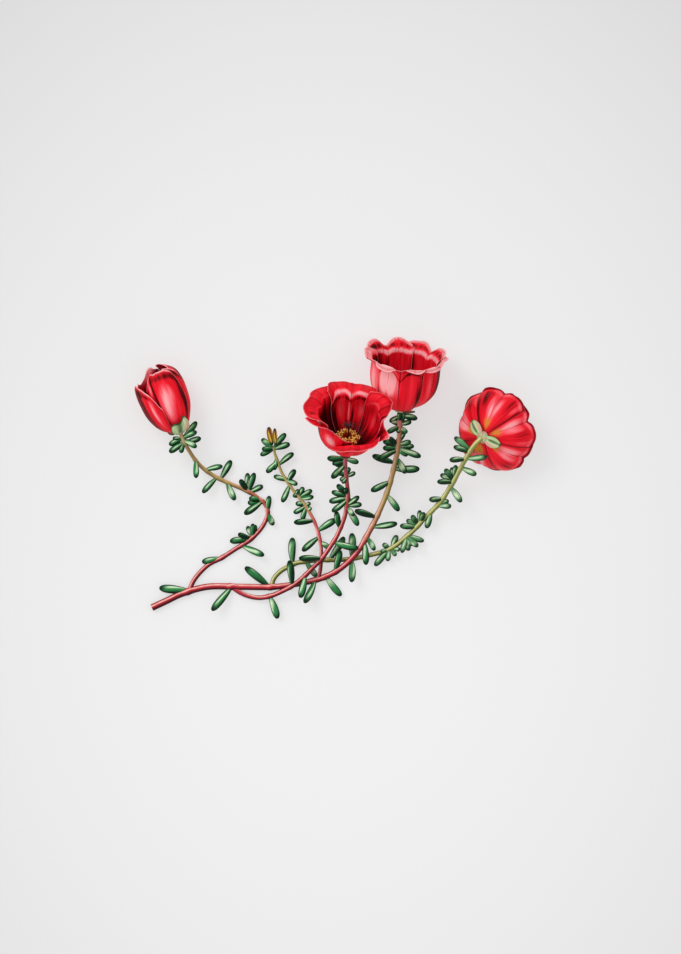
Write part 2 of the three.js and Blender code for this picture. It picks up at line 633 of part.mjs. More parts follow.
/** A bloom as a group in its own frame, with everything under the floor cut away. */
function bloomGroup(name) {
  const bloom = BLOOMS[name];
  const group = new THREE.Group();
  const frame = bloomFrame(bloom);
  frame.decompose(group.position, group.quaternion, group.scale);
  const pieces = [
    ['corolla', corollaGeometries(bloom), PETAL_CRIMSON],
    ['calyx', calyxGeometries(bloom), SEPAL_GREEN],
    ['stamens', stamenGeometries(bloom), STAMEN_GOLD],
    ['pistil', pistilGeometries(bloom), PISTIL_MAROON],
  ];
  pieces.forEach(([kind, geometries, material]) => {
    const solid = join(geometries).subtract(underFloor(frame));
    const mesh = new THREE.Mesh(toGeometry(solid), material);
    mesh.name = `${kind}_${name}`;
    group.add(mesh);
  });
  return group;
}

/** A closed bud: a plump spindle, spare larger all round. */
function budGeometry(name, spare = 0) {
  const { foot, axis, length, width } = BUDS[name];
  const direction = new THREE.Vector3(...axis).normalize();
  const from = new THREE.Vector3(...foot).addScaledVector(direction, -spare);
  const to = from.clone().addScaledVector(direction, length + 2 * spare);
  return club(from, to, BUD_OUTLINE.map(([t, share]) => [t, (width / 2) * share + spare]), STEM.sides);
}

/** A bud as a named piece of its own. */
function bud(name) {
  const mesh = new THREE.Mesh(budGeometry(name), BUD_OLIVE);
  mesh.name = name;
  return mesh;
}

// ---------------------------------------------------------------- the sprig
const sprig = new THREE.Group();
sprig.position.set(...MIDDLE, 0);
Object.keys(STEMS).forEach((name) => sprig.add(leafyStem(name)));
Object.keys(BLOOMS).forEach((name) => sprig.add(bloomGroup(name)));
Object.keys(BUDS).forEach((name) => sprig.add(bud(name)));

export default sprig;
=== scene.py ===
"""A cut sprig of portulaca (moss rose), dressed in its leaves, bark and petals.

Each leafy stem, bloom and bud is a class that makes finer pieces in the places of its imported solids:
tubes swept along lines, thin blades over the section of a bloom, stamens and hairs placed by rules.
Points are in millimetres until they become a mesh.
"""

import logging
import math
from dataclasses import dataclass, field
from enum import Enum
from typing import Callable, Iterable, Optional, Union

import bpy
import numpy as np
from mathutils import Matrix, Vector


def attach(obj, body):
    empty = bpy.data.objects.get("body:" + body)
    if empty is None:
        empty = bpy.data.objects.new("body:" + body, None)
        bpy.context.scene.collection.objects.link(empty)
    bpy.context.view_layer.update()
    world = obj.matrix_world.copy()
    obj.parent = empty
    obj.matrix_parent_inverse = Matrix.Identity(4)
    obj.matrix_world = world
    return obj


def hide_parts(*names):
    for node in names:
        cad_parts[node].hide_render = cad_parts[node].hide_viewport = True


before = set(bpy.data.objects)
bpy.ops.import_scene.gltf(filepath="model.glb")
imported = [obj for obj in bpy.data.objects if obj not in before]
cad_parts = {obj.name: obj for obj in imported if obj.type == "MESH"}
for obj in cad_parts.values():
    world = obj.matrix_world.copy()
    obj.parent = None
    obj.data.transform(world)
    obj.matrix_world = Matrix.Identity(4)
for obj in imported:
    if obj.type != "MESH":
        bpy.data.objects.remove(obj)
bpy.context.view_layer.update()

log = logging.getLogger("sprig")

MM = 0.001
MIDDLE = np.array([3.5, 0.25, 0.0])  # moves the sprig so that the origin is under its middle
UP = np.array([0.0, 0.0, 1.0])
GOLDEN_ANGLE = math.pi * (3 - math.sqrt(5))
TIP_CROWDING = 1.15  # how much closer together the rows of a blade lie at its tip
EDGE_CROWDING = 0.82  # how much closer together its points lie at its edges, between 0 and 1
EDGE_THICKNESS = 0.35  # as a share of the thickness in the middle of a blade
SEED = 29
BODY = "root"

Array = np.ndarray
Mesh = bpy.types.Mesh
Object = bpy.types.Object
Material = bpy.types.Material
Socket = bpy.types.NodeSocket
Point = tuple[float, float, float]
Values = tuple[float, ...]
Value = Union["Term", Socket, bpy.types.Node, float, int, bool, tuple, str, None]


class Slot(Enum):
    """The record's material slots."""

    LEAF = "leaf"
    PETAL = "petal"
    SEPAL = "sepal"
    STAMEN = "stamen"
    PISTIL = "pistil"
    BUD = "bud"


class Side(Enum):
    """The faces of a petal or a sepal: towards the axis of the bloom, away from it, or both."""

    INNER = 1.0
    OUTER = 0.0
    BOTH = 0.5


class Tone(Enum):
    """What a patch on a petal does to its crimson; the value is the name of the attribute."""

    # pink paints highlights, maroon paints shade, the crease a line of shade down the middle and the last
    # tone a dark outline of shade along the edges; gold is the petal's own orange at its claws
    PINK = "pink"
    MAROON = "maroon"
    GOLD = "gold"
    CREASE = "crease"
    INK = "ink"


# ----------------------------------------------------------------------------------------- numbers
def smooth(x: Array, low: float, high: float) -> Array:
    """Rises smoothly from 0 at low to 1 at high."""
    t = np.clip((x - low) / (high - low), 0.0, 1.0)
    return t * t * (3 - 2 * t)


def blend(a: float, b: float, t: Array) -> Array:
    """The value that lies the share t of the way from a to b."""
    return a + (b - a) * t


def hump(x: Array, centre: float, width: float) -> Array:
    """A bell curve of height 1."""
    return np.exp(-(((x - centre) / width) ** 2))


def spread(values: Values, v: Array) -> Array:
    """A smooth value across a petal.

    Args:
        values: What it is at even steps from v = -1 to v = 1.
        v: Places from edge to edge.

    Returns:
        The value at each place.
    """
    knots = np.array([values[0], *values, values[-1]])
    place = (np.clip(v, -1, 1) + 1) / 2 * (len(values) - 1)
    step = np.minimum(place.astype(int), len(values) - 2)
    t = place - step
    a, b, c, d = (knots[step + i] for i in range(4))
    bends = (2 * a - 5 * b + 4 * c - d) * t**2 + (3 * b - a - 3 * c + d) * t**3
    return b + ((c - a) * t + bends) / 2


def turns(count: int) -> Array:
    """Angles at even steps round a circle."""
    return np.linspace(0, 2 * math.pi, count, endpoint=False)


def unit(vectors: Array) -> Array:
    """The same directions with length 1."""
    return vectors / np.maximum(np.linalg.norm(vectors, axis=-1, keepdims=True), 1e-9)


def stand(foot: Point, axis: Point) -> Array:
    """A frame that stands on its foot.

    Args:
        foot: Where it stands.
        axis: The direction of its Z.

    Returns:
        Its 4 x 4 matrix.
    """
    ahead = unit(np.array(axis))
    right = unit(np.array([1.0, 0, 0]) - ahead[0] * ahead)
    matrix = np.eye(4)
    matrix[:3] = np.stack([right, np.cross(ahead, right), ahead, foot], axis=1)
    return matrix


def tint(code: str) -> tuple[float, float, float, float]:
    """A colour as a shader takes it.

    Args:
        code: The colour, such as #c81030.

    Returns:
        Its linear red, green and blue, and an alpha of 1.
    """
    channels = [int(code[i : i + 2], 16) / 255 for i in (1, 3, 5)]
    linear = [c / 12.92 if c <= 0.04045 else ((c + 0.055) / 1.055) ** 2.4 for c in channels]
    return (*linear, 1.0)


class Line:
    """A smooth line through given points, measured along its own length."""

    SAMPLES_PER_SPAN = 48

    def __init__(self, points: Iterable[Iterable[float]], loose_ends: bool = True) -> None:
        """Fits the line.

        Args:
            points: The points that it passes through.
            loose_ends: True for a stem, whose ends run on as they point; False for a section.
        """
        given = np.array(points, float)
        power = 0.5 if loose_ends else 0.0
        first = 2 * given[0] - given[1] if loose_ends else given[0]
        last = 2 * given[-1] - given[-2] if loose_ends else given[-1]
        knots = np.vstack([first, given, last])
        t = np.linspace(0, 1, self.SAMPLES_PER_SPAN, endpoint=False)[:, None]
        spans = []
        for a, b, c, d in zip(knots, knots[1:], knots[2:], knots[3:]):
            before, here, after = (
                max(np.linalg.norm(q - p), 1e-4) ** power for p, q in ((a, b), (b, c), (c, d))
            )
            enter = ((b - a) / before - (c - a) / (before + here) + (c - b) / here) * here
            leave = ((c - b) / here - (d - b) / (here + after) + (d - c) / after) * here
            curve = (2 * b - 2 * c + enter + leave) * t**3
            spans.append(curve + (3 * c - 3 * b - 2 * enter - leave) * t**2 + enter * t + b)
        self.points = np.vstack([*spans, given[-1:]])
        self.reach = self._distances(self.points)
        self.length = float(self.reach[-1])
        self.slopes = unit(np.gradient(self.points, axis=0))

    def at(self, share: Array) -> Array:
        """The points at these shares of the length."""
        return self._read(self.points, share)

    def ahead(self, share: Array) -> Array:
        """The unit directions of the line at these shares of the length."""
        return unit(self._read(self.slopes, share))

    def share_seen_from_above(self, distance: float) -> float:
        """The share of the length at a distance from the start that is measured from above."""
        return float(np.interp(distance, self._distances(self.points[:, :2]), self.reach)) / self.length

    @staticmethod
    def _distances(points: Array) -> Array:
        """How far each point is from the first, along the points."""
        return np.concatenate([[0.0], np.cumsum(np.linalg.norm(np.diff(points, axis=0), axis=1))])

    def _read(self, table: Array, share: Array) -> Array:
        """Values of a table of samples at these shares of the length."""
        where = np.clip(share, 0, 1) * self.length
        return np.stack([np.interp(where, self.reach, column) for column in table.T], axis=-1)


# ------------------------------------------------------------------------------------------ meshes
def in_scene(points: Array) -> list[list[float]]:
    """Points of the sprig's plan as places in the scene, in metres."""
    return ((points + MIDDLE) * MM).tolist()


def write_values(mesh: Mesh, values: dict[str, Array]) -> None:
    """Writes a number of each kind on every point."""
    for key, value in values.items():
        mesh.attributes.new(key, "FLOAT", "POINT").data.foreach_set("value", value.astype(np.float32))


def show(name: str, data: bpy.types.ID) -> Object:
    """Puts a new object in the scene.

    Args:
        name: Its name.
        data: Its mesh, lamp or camera.

    Returns:
        The object.
    """
    made = bpy.data.objects.new(name, data)
    bpy.context.scene.collection.objects.link(made)
    return made


def lie_on_floor(points: Array, lowest: float = 0.02, softness: float = 0.5) -> Array:
    """Presses what lies under the surface up onto it.

    Args:
        points: Points in millimetres.
        lowest: The height that no point falls below.
        softness: The height under which the points are bent up.

    Returns:
        The points, raised.
    """
    raised = points.copy()
    height = raised[..., 2]
    bent = np.minimum((height - softness) / softness, 0)
    raised[..., 2] = np.where(height < softness, lowest + softness * np.exp(bent) * (1 - lowest), height)
    return raised


@dataclass
class Draft:
    """A piece while it is put together: points in millimetres, faces and values at the points."""

    points: list[Array] = field(default_factory=list)
    faces: list[list[int]] = field(default_factory=list)
    values: dict[str, list[Array]] = field(default_factory=dict)
    count: int = 0

    def add(self, points: Array, faces: Array, **values: Array) -> None:
        """Adds a part.

        Args:
            points: Its points, in an array of any shape that ends in 3.
            faces: The faces between them.
            **values: A value of each kind, one for every point or one for all.
        """
        self.points.append(points.reshape(-1, 3))
        self.faces.extend((faces + self.count).tolist())
        for name, value in values.items():
            everywhere = np.broadcast_to(np.asarray(value, float), points.shape[:-1])
            self.values.setdefault(name, []).append(everywhere.ravel())
        self.count += len(self.points[-1])

    def add_rings(self, rings: Array, **values: Array) -> None:
        """Adds a skin that is closed at both ends.

        Args:
            rings: Rings of points, one above the other.
            **values: A value of each kind, one for every point or one for all.
        """
        rows, sides = rings.shape[:2]
        start, last = self.count, self.count + (rows - 1) * sides
        self.add(rings, grid_faces(rows, sides, closed=True)[:, ::-1], **values)
        self.faces.append(list(range(start, start + sides))[::-1])
        self.faces.append(list(range(last, last + sides)))

    def mesh(self, name: str, place: Optional[Array] = None, finish: Optional[Material] = None) -> Mesh:
        """The piece as a smooth mesh in metres.

        Args:
            name: The name of the mesh.
            place: A 4 x 4 matrix in millimetres that takes the points to the sprig's plan; without it
                they stay about the origin.
            finish: The material.

        Returns:
            The mesh, with each value as an attribute of its points.
        """
        points = np.vstack(self.points)
        if place is not None:
            points = lie_on_floor(points @ place[:3, :3].T + place[:3, 3] + MIDDLE)
        mesh = bpy.data.meshes.new(name)
        mesh.from_pydata((points * MM).tolist(), [], self.faces)
        write_values(mesh, {key: np.concatenate(parts) for key, parts in self.values.items()})
        mesh.polygons.foreach_set("use_smooth", [True] * len(mesh.polygons))
        mesh.update()
        if finish:
            mesh.materials.append(finish)
        return mesh


def grid_faces(rows: int, columns: int, closed: bool = False) -> Array:
    """The quads of a grid of points.

    Args:
        rows: Rows of points.
        columns: Points in a row.
        closed: True if the last point of a row is next to the first.

    Returns:
        An array of four indices for each quad, turned to face along rows x columns.
    """
    i = np.arange(rows - 1)[:, None]
    j = np.arange(columns if closed else columns - 1)[None, :]
    a = i * columns + j
    b = i * columns + (j + 1) % columns
    return np.stack([a, a + columns, b + columns, b], axis=-1).reshape(-1, 4)


def rings_about(angle: Array, radius: Array, height: Array, aside: Array = 0.0) -> Array:
    """Rings of points about the Z axis, moved aside along X."""
    x, y = radius * np.cos(angle) + aside, radius * np.sin(angle)
    return np.stack(np.broadcast_arrays(x, y, height), axis=-1)


def add_lathe(
    draft: Draft, profile: tuple[tuple[float, float], ...], sides: int, ribs: float, **values: float
) -> None:
    """Adds a round piece about the Z axis, closed at both ends.

    Args:
        draft: What it is added to.
        profile: Points of radius and height from the lower end to the upper one, off the axis.
        sides: Points round it.
        ribs: How far its five ribs stand out, as a share of the radius.
        **values: A value of each kind for all its points.
    """
    outline = np.array(profile)
    angle = turns(sides)
    five = np.cos(angle * 5)
    rings = rings_about(angle, outline[:, :1] * (1 + ribs * five), outline[:, 1:])
    draft.add_rings(rings, along=np.linspace(0, 1, len(outline))[:, None], across=five, inner=0.0, **values)


def add_blade(
    draft: Draft, surface: Callable, shape: tuple[int, int], thickness: float, **values: Callable
) -> None:
    """Adds a thin closed blade with rounded edges.

    Args:
        draft: What it is added to.
        surface: Gives the points in the middle of the blade, for u from foot to tip and v from edge to edge.
        shape: Points along and across it.
        thickness: Thickness in the middle of the blade.
        **values: Functions of u, v and the face (1 inner, 0 outer) that give a value at each point.
    """
    along, across = shape
    foot_to_tip = 1 - (1 - np.linspace(0, 1, along)) ** TIP_CROWDING
    crowding = math.pi / 2 * EDGE_CROWDING
    edge_to_edge = np.sin(np.linspace(-1, 1, across) * crowding) / math.sin(crowding)
    u, v = np.meshgrid(foot_to_tip, edge_to_edge, indexing="ij")
    middle = surface(u, v)
    normal = unit(np.cross(np.gradient(middle, axis=0), np.gradient(middle, axis=1)))
    rounding = np.minimum(smooth(1.02 - np.abs(v), 0, 0.12), smooth(1.02 - u, 0, 0.08))
    half = (thickness / 2 * blend(EDGE_THICKNESS, 1.0, rounding))[..., None] * normal
    start, faces = draft.count, grid_faces(along, across)
    for side, points, quads in (
        (Side.INNER, middle + half, faces), (Side.OUTER, middle - half, faces[:, ::-1])
    ):
        given = {name: value(u, v, side.value) for name, value in values.items()}
        draft.add(points, quads, along=u, across=v, inner=side.value, **given)
    row, last = np.arange(across), (along - 1) * across
    left, right = np.arange(1, along - 1) * across, np.arange(1, along) * across + across - 1
    loop = np.concatenate([row, right, last + row[-2::-1], left[::-1]]) + start
    after, size = np.roll(loop, -1), along * across
    draft.faces.extend(np.stack([loop, after, after + size, loop + size], axis=-1).tolist())


def piece(mesh: Mesh, slot: Slot, *nodes: str) -> None:
    """Puts a finished mesh in the scene as a piece that rides on the sprig's body.

    Args:
        mesh: The mesh, in metres, in the sprig's own frame.
        slot: The material slot that its finish belongs to; it is not used.
        *nodes: The solids that it stands for.
    """
    points = np.empty(len(mesh.vertices) * 3, np.float32)
    mesh.vertices.foreach_get("co", points)
    laid = lie_on_floor(points.reshape(-1, 3) / MM) * MM
    mesh.vertices.foreach_set("co", laid.astype(np.float32).ravel())
    made = show(mesh.name, mesh)
    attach(made, BODY)
    if nodes:
        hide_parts(*nodes)
    log.info("%s: %d faces", mesh.name, len(mesh.polygons))


# ------------------------------------------------------------------------------------------- nodes
class Term:
    """A number inside a node tree, on which sums are written as on plain numbers."""

    def __init__(self, graph: "Graph", socket: Socket) -> None:
        """Takes the tree and the socket that gives the number."""
        self.graph, self.socket = graph, socket

    def __add__(self, other: Value) -> "Term":
        """The sum."""
        return self.graph.math("ADD", self, other)

    def __sub__(self, other: Value) -> "Term":
        """The difference."""
        return self.graph.math("SUBTRACT", self, other)

    def __rsub__(self, other: Value) -> "Term":
        """The difference from a plain number."""
        return self.graph.math("SUBTRACT", other, self)

    def __mul__(self, other: Value) -> "Term":
        """The product."""
        return self.graph.math("MULTIPLY", self, other)

    def __truediv__(self, other: Value) -> "Term":
        """The quotient."""
        return self.graph.math("DIVIDE", self, other)

    def __or__(self, other: Value) -> "Term":
        """The larger of the two."""
        return self.graph.math("MAXIMUM", self, other)

    def __abs__(self) -> "Term":
        """The number without its sign."""
        return self.graph.math("ABSOLUTE", self)

    def span(self, low: float, high: float, to_low: float = 0, to_high: float = 1) -> "Term":
        """The number led smoothly from one range to another."""
        inputs = {0: self, 1: low, 2: high, 3: to_low, 4: to_high}
        return self.graph.term("ShaderNodeMapRange", inputs, interpolation_type="SMOOTHSTEP")


class Graph:
    """A node tree that is filled by short calls."""

    def __init__(self, tree: bpy.types.NodeTree) -> None:
        """Takes the tree to fill."""
        self.tree = tree

    def add(self, kind: str, inputs: Optional[dict] = None, **settings: object) -> bpy.types.Node:
        """Adds a node.

        Args:
            kind: The node's type name.
            inputs: What goes into each input, by its name or number.
            **settings: The node's own settings.

        Returns:
            The new node.
        """
        node = self.tree.nodes.new(kind)
        for key, value in settings.items():
            setattr(node, key, value)
        for key, value in (inputs or {}).items():
            self.feed(node.inputs[key], value)
        return node

    def feed(self, socket: Socket, value: Value) -> None:
        """Sets an input.

        Args:
            socket: The input.
            value: What the tree gives, or a plain value, or the code of a colour.
        """
        if isinstance(value, bpy.types.Node):
            value = next(s for s in value.outputs if s.enabled)
        if isinstance(value, Term):
            value = value.socket
        if isinstance(value, Socket):
            self.tree.links.new(value, socket)
        else:
            socket.default_value = tint(value) if str(value).startswith("#") else value

    def term(self, kind: str, inputs: dict, output: Union[int, str] = 0, **settings: object) -> Term:
        """What a new node gives."""
        return Term(self, self.add(kind, inputs, **settings).outputs[output])

    def math(self, operation: str, a: Value, b: Value = 0.0, clamp: bool = False) -> Term:
        """The result of a sum on one or two numbers."""
        return self.term("ShaderNodeMath", {0: a, 1: b}, operation=operation, use_clamp=clamp)

    def dot(self, a: Value, b: Value) -> Term:
        """The dot product of two vectors."""
        return self.term("ShaderNodeVectorMath", {0: a, 1: b}, "Value", operation="DOT_PRODUCT")

    def vector(self, x: Value, y: Value, z: Value = 0.0) -> Term:
        """Three numbers as one vector."""
        return self.term("ShaderNodeCombineXYZ", {0: x, 1: y, 2: z})


class Paint(Graph):
    """The node tree of a material with one Principled shader."""

    def __init__(self, name: str, **sockets: Value) -> None:
        """Makes the material.

        Args:
            name: Its name.
            **sockets: Values of the shader's sockets, whose names have _ for a space.
        """
        self.material = bpy.data.materials.new(name)
        self.material.use_nodes = True
        super().__init__(self.material.node_tree)
        self.shader = self.tree.nodes["Principled BSDF"]
        for key, value in sockets.items():
            self.shader.inputs[key.replace("_", " ")].default_value = value
        coordinates = self.add("ShaderNodeTexCoord").outputs
        self.place, self.normal = coordinates["Object"], coordinates["Normal"]

    def facing(self, direction: Point) -> Term:
        """How far the skin faces a direction, from -1 to 1."""
        return self.dot(self.normal, tuple(unit(np.array(direction))))

    def values(self, *names: str) -> list[Term]:
        """Attributes of the piece's points as numbers."""
        return [self.term("ShaderNodeAttribute", {}, "Fac", attribute_name=name) for name in names]

    def noise(self, scale: float, vector: Optional[Term] = None, detail: float = 3.0) -> Term:
        """Noise between 0 and 1, in the piece's own coordinates unless another vector is given."""
        inputs = {"Vector": vector or self.place, "Scale": scale, "Detail": detail}
        return self.term("ShaderNodeTexNoise", inputs)

    def mix(self, share: Value, a: Value, b: Value) -> Term:
        """Two colours mixed."""
        return self.term("ShaderNodeMix", {0: share, 6: a, 7: b}, 2, data_type="RGBA")

    def ramp(self, value: Value, stops: Iterable[tuple[float, str]]) -> Term:
        """Colours along a value.

        Args:
            value: The value between 0 and 1.
            stops: Places between 0 and 1 and their colours.

        Returns:
            The colour.
        """
        node = self.add("ShaderNodeValToRGB", {0: value})
        elements = node.color_ramp.elements
        elements.remove(elements[1])
        for index, (place, code) in enumerate(stops):
            element = elements.new(place) if index else elements[0]
            element.position = place
            element.color = tint(code)
        return Term(self, node.outputs[0])

    def bumps(self, height: Value, distance: float, strength: float = 1.0) -> None:
        """Sets the shader's normal from a height whose full range is distance millimetres."""
        inputs = {"Height": height, "Distance": distance * MM, "Strength": strength}
        self.feed(self.shader.inputs["Normal"], self.add("ShaderNodeBump", inputs))

    def finish(self, colour: Value) -> Material:
        """Links the colour and gives the material."""
        self.feed(self.shader.inputs["Base Color"], colour)
        return self.material


class GeometryTree(Graph):
    """A geometry node tree with named inputs, whose result is turned into a plain mesh."""

    def __init__(self, name: str, **inputs: tuple[str, Value]) -> None:
        """Makes the tree.

        Args:
            name: The tree's name.
            **inputs: Kind of socket and first value of each named input.
        """
        super().__init__(bpy.data.node_groups.new(name, "GeometryNodeTree"))
        face = self.tree.interface
        face.new_socket(name="Geometry", in_out="INPUT", socket_type="NodeSocketGeometry")
        self.keys: dict[str, str] = {}
        for key, (kind, value) in (inputs | {"Finish": ("Material", None)}).items():
            socket = face.new_socket(name=key, in_out="INPUT", socket_type="NodeSocket" + kind)
            if value is not None:
                socket.default_value = value
            self.keys[key] = socket.identifier
        face.new_socket(name="Geometry", in_out="OUTPUT", socket_type="NodeSocketGeometry")
        outputs = self.add("NodeGroupInput").outputs
        self.given = {key: Term(self, outputs[key]) for key in ("Geometry", *self.keys)}

    def store(self, geometry: Value, name: str, value: Value, domain: str = "POINT") -> bpy.types.Node:
        """Writes a number on every element as an attribute."""
        inputs = {0: geometry, 2: name, 3: value}
        return self.add("GeometryNodeStoreNamedAttribute", inputs, data_type="FLOAT", domain=domain)

    def random(self, low: float, high: float, step: int) -> Term:
        """A random number for each element, from the seed and a step of its own."""
        return self.term("FunctionNodeRandomValue", {2: low, 3: high, 8: SEED + step}, 1, data_type="FLOAT")

    def copies(self, points: Value, source: str, turned: Value, scale: Value) -> bpy.types.Node:
        """Sets a copy of the object of a named input on each point."""
        shape = self.add("GeometryNodeObjectInfo", {0: self.given[source]}).outputs["Geometry"]
        return self.add("GeometryNodeInstanceOnPoints", {0: points, 2: shape, 5: turned, 6: scale})

    def ends(self, geometry: Value) -> None:
        """Realizes the instances, sets the finish and closes the tree.

        Args:
            geometry: What the tree has made.
        """
        real = self.add("GeometryNodeRealizeInstances", {0: geometry})
        even = self.add("GeometryNodeSetShadeSmooth", {0: real})
        dressed = self.add("GeometryNodeSetMaterial", {0: even, 2: self.given["Finish"]})
        self.add("NodeGroupOutput", {0: dressed})

    def grow(self, source: Mesh, name: str, **values: Value) -> Mesh:
        """Runs the tree on a mesh.

        Args:
            source: The mesh that goes in; it is removed.
            name: The name of the new mesh.
            **values: Values of the tree's named inputs.

        Returns:
            The result as a plain mesh.
        """
        base = show(name + "_source", source)
        modifier = base.modifiers.new(self.tree.name, "NODES")
        modifier.node_group = self.tree
        for key, value in values.items():
            modifier[self.keys[key]] = value
        depsgraph = bpy.context.evaluated_depsgraph_get()
        mesh = bpy.data.meshes.new_from_object(
            base.evaluated_get(depsgraph), preserve_all_data_layers=True, depsgraph=depsgraph
        )
        mesh.name = name
        base.modifiers.clear()
        bpy.data.objects.remove(base)
        bpy.data.meshes.remove(source)
        return mesh


class SweepTree(GeometryTree):
    """Skins every strand of a wire with a tube of round or flattened section."""

    def __init__(self) -> None:
        """Builds the tree."""
        super().__init__("sweep", Sides=("Int", 12), Flatness=("Float", 1.0))
        given = self.given
        level = self.add(
            "GeometryNodeSetCurveNormal", {0: self.add("GeometryNodeMeshToCurve", {0: given["Geometry"]})},
            mode="Z_UP",
        )
        circle = self.add("GeometryNodeCurvePrimitiveCircle", {0: given["Sides"], 4: 1.0})
        place = self.add("ShaderNodeSeparateXYZ", {0: self.add("GeometryNodeInputPosition")}).outputs
        upward = self.math("MULTIPLY", place["Y"], -1.0)
        marked = self.store(self.store(circle, "side", place["X"]), "rise", upward)
        scale = self.vector(1.0, given["Flatness"], 1.0)
        section = self.add("GeometryNodeTransform", {0: marked, "Scale": scale})
        radius = self.term("GeometryNodeInputNamedAttribute", {0: "radius"}, data_type="FLOAT")
        inputs = {"Curve": level, "Profile Curve": section, "Scale": radius, "Fill Caps": True}
        self.ends(self.add("GeometryNodeCurveToMesh", inputs))


class StamenTree(GeometryTree):
    """Sets stamens in rings about the axis by the golden angle, leaning outwards."""

    def __init__(self) -> None:
        """Builds the tree."""
        super().__init__(
            "stamens", Count=("Int", 40), Foot=("Float", 0.0043), Inner=("Float", 0.0014),
            Outer=("Float", 0.0023), Height=("Float", 0.008), Reach=("Float", 0.005), Stamen=("Object", None),
        )
        given = self.given
        index = self.term("GeometryNodeInputIndex", {})
        out = self.math("SQRT", (index + 0.5) / given["Count"])
        turn = index * GOLDEN_ANGLE + self.random(-0.3, 0.3, 0)
        cosine, sine = self.math("COSINE", turn), self.math("SINE", turn)
        foot_radius = given["Inner"] + (given["Outer"] - given["Inner"]) * out
        tip_radius = given["Outer"] + (given["Reach"] - given["Outer"]) * out
        lean = tip_radius * self.random(0.82, 1.12, 1) - foot_radius
        height = given["Height"] * (0.98 - out * 0.3) * self.random(0.82, 1.08, 2)
        foot = self.vector(cosine * foot_radius, sine * foot_radius, given["Foot"])
        aim = self.vector(cosine * lean, sine * lean, height)
        points = self.add("GeometryNodePoints", {0: given["Count"], 1: foot})
        turned = self.add(
            "FunctionNodeAxesToRotation", {0: aim, 1: self.vector(cosine, sine)},
            primary_axis="Z", secondary_axis="X",
        )
        length = self.term("ShaderNodeVectorMath", {0: aim}, "Value", operation="LENGTH")
        placed = self.copies(points, "Stamen", turned, self.vector(1.0, 1.0, length / MM))
        self.ends(self.store(placed, "tone", self.random(0, 1, 3), "INSTANCE"))


class HairTree(GeometryTree):
    """Stands a few hairs on every point, each leaning its own way."""

    def __init__(self) -> None:
        """Builds the tree."""
        super().__init__("hairs", Each=("Int", 6), Shortest=("Float", 0.6), Hair=("Object", None))
        given = self.given
        inputs = {0: given["Geometry"], 2: given["Each"]}
        many = self.add("GeometryNodeDuplicateElements", inputs, domain="POINT")
        lean = self.vector(self.random(-1, 1, 4), self.random(-1, 1, 5), self.random(0, 1, 6))
        turned = self.add("FunctionNodeAxesToRotation", {0: lean, 1: (0.3, 0.5, 0.8)}, primary_axis="Z")
        size = given["Shortest"] + (1.0 - given["Shortest"]) * self.random(0, 1, 7)
        self.ends(self.copies(many, "Hair", turned, size))


# ---------------------------------------------------------------------------------------- finishes
LIT_SIDE = (-0.6, 0.8, 0)  # where the light that is painted on stems and leaves comes from


@dataclass(frozen=True)
class Bark:
    """Smooth stem skin whose colour changes from the root of the stem to its tip, with a painted highlight on
    the side that faces LIT_SIDE and painted shade on the side away from it and underneath.
    """

    name: str
    stops: tuple[tuple[float, str], ...]
    # the colours of the painted shade and of the painted highlight
    shade: str = "#380208"
    painted_sheen: str = "#ffc8ba"

    def material(self) -> Material:
        """Paints the material.

        Returns:
            The new material.
        """
        paint = Paint(self.name, Roughness=0.45, Specular_IOR_Level=0.12)
        along, rise, side = paint.values("along", "rise", "side")
        base = paint.ramp(along + paint.noise(260) * 0.1 - 0.05, self.stops)
        fibres = paint.noise(1.0, paint.vector(side * 5.0, along * 60))
        facing = paint.facing(LIT_SIDE)
        # painted highlight: a streaky light stripe where the skin faces LIT_SIDE
        ridge = abs(facing - 0.42).span(0.3, 0.06) * fibres.span(0.3, 0.6, 0.3, 0.95)
        # painted shade on the side away from LIT_SIDE and underneath, and a dark line where the skin faces
        # LIT_SIDE most squarely; weaker towards the tip
        dark = facing.span(0.1, -0.5) | facing.span(0.78, 0.94, 0, 0.85) | rise.span(0.2, -0.4)
        dark = dark * along.span(0.45, 0.85, 0.95, 0.6)
        paint.bumps(fibres, 0.12, 0.5)
        return paint.finish(paint.mix(dark, paint.mix(ridge, base, self.painted_sheen), self.shade))


@dataclass(frozen=True)
class LeafSkin:
    """Waxy fleshy leaf: a pale streaky painted highlight along the upper side, painted shade at its edges, on
    the side away from LIT_SIDE and underneath, and a dark tip.
    """

    name: str
    body: str = "#33884a"
    # the colour of the painted highlight, the dark colour of the tip that also paints the shade, and how
    # strong the highlight is
    highlight_band: str = "#dcf6cc"
    edge: str = "#011408"
    highlight_share: float = 0.95

    def material(self) -> Material:
        """Paints the material.

        Returns:
            The new material.
        """
        paint = Paint(self.name, Roughness=0.42, Specular_IOR_Level=0.12)
        along, rise, side, tone = paint.values("along", "rise", "side", "tone")
        streaks = paint.noise(1.0, paint.vector(side * 5, along * 2.5, tone * 50))
        body = paint.mix(tone.span(0, 1, 0, 0.3), self.body, self.edge)
        facing = paint.facing(LIT_SIDE)
        # painted highlight: a streaky light stripe on the upper side where the skin faces LIT_SIDE, away from
        # both ends
        highlight_band = abs(facing + tone.span(0, 1, -0.3, -0.08)).span(0.26, 0.04) * rise.span(0.0, 0.5)
        highlight_band = highlight_band * along.span(0.02, 0.2) * along.span(0.8, 0.5) * streaks.span(0.3, 0.55)
        lit = paint.mix(highlight_band * self.highlight_share, body, self.highlight_band)
        # painted shade at the edges, away from LIT_SIDE and underneath, with dark streaks and a dark tip
        dark = abs(side).span(0.6, 0.92) | facing.span(0.0, -0.4) | along.span(0.58, 0.88)
        dark = dark | streaks.span(0.56, 0.72) * 0.5 | rise.span(0.05, -0.6)
        paint.bumps(streaks, 0.1, 0.5)
        return paint.finish(paint.mix(dark * 0.94, lit, self.edge))


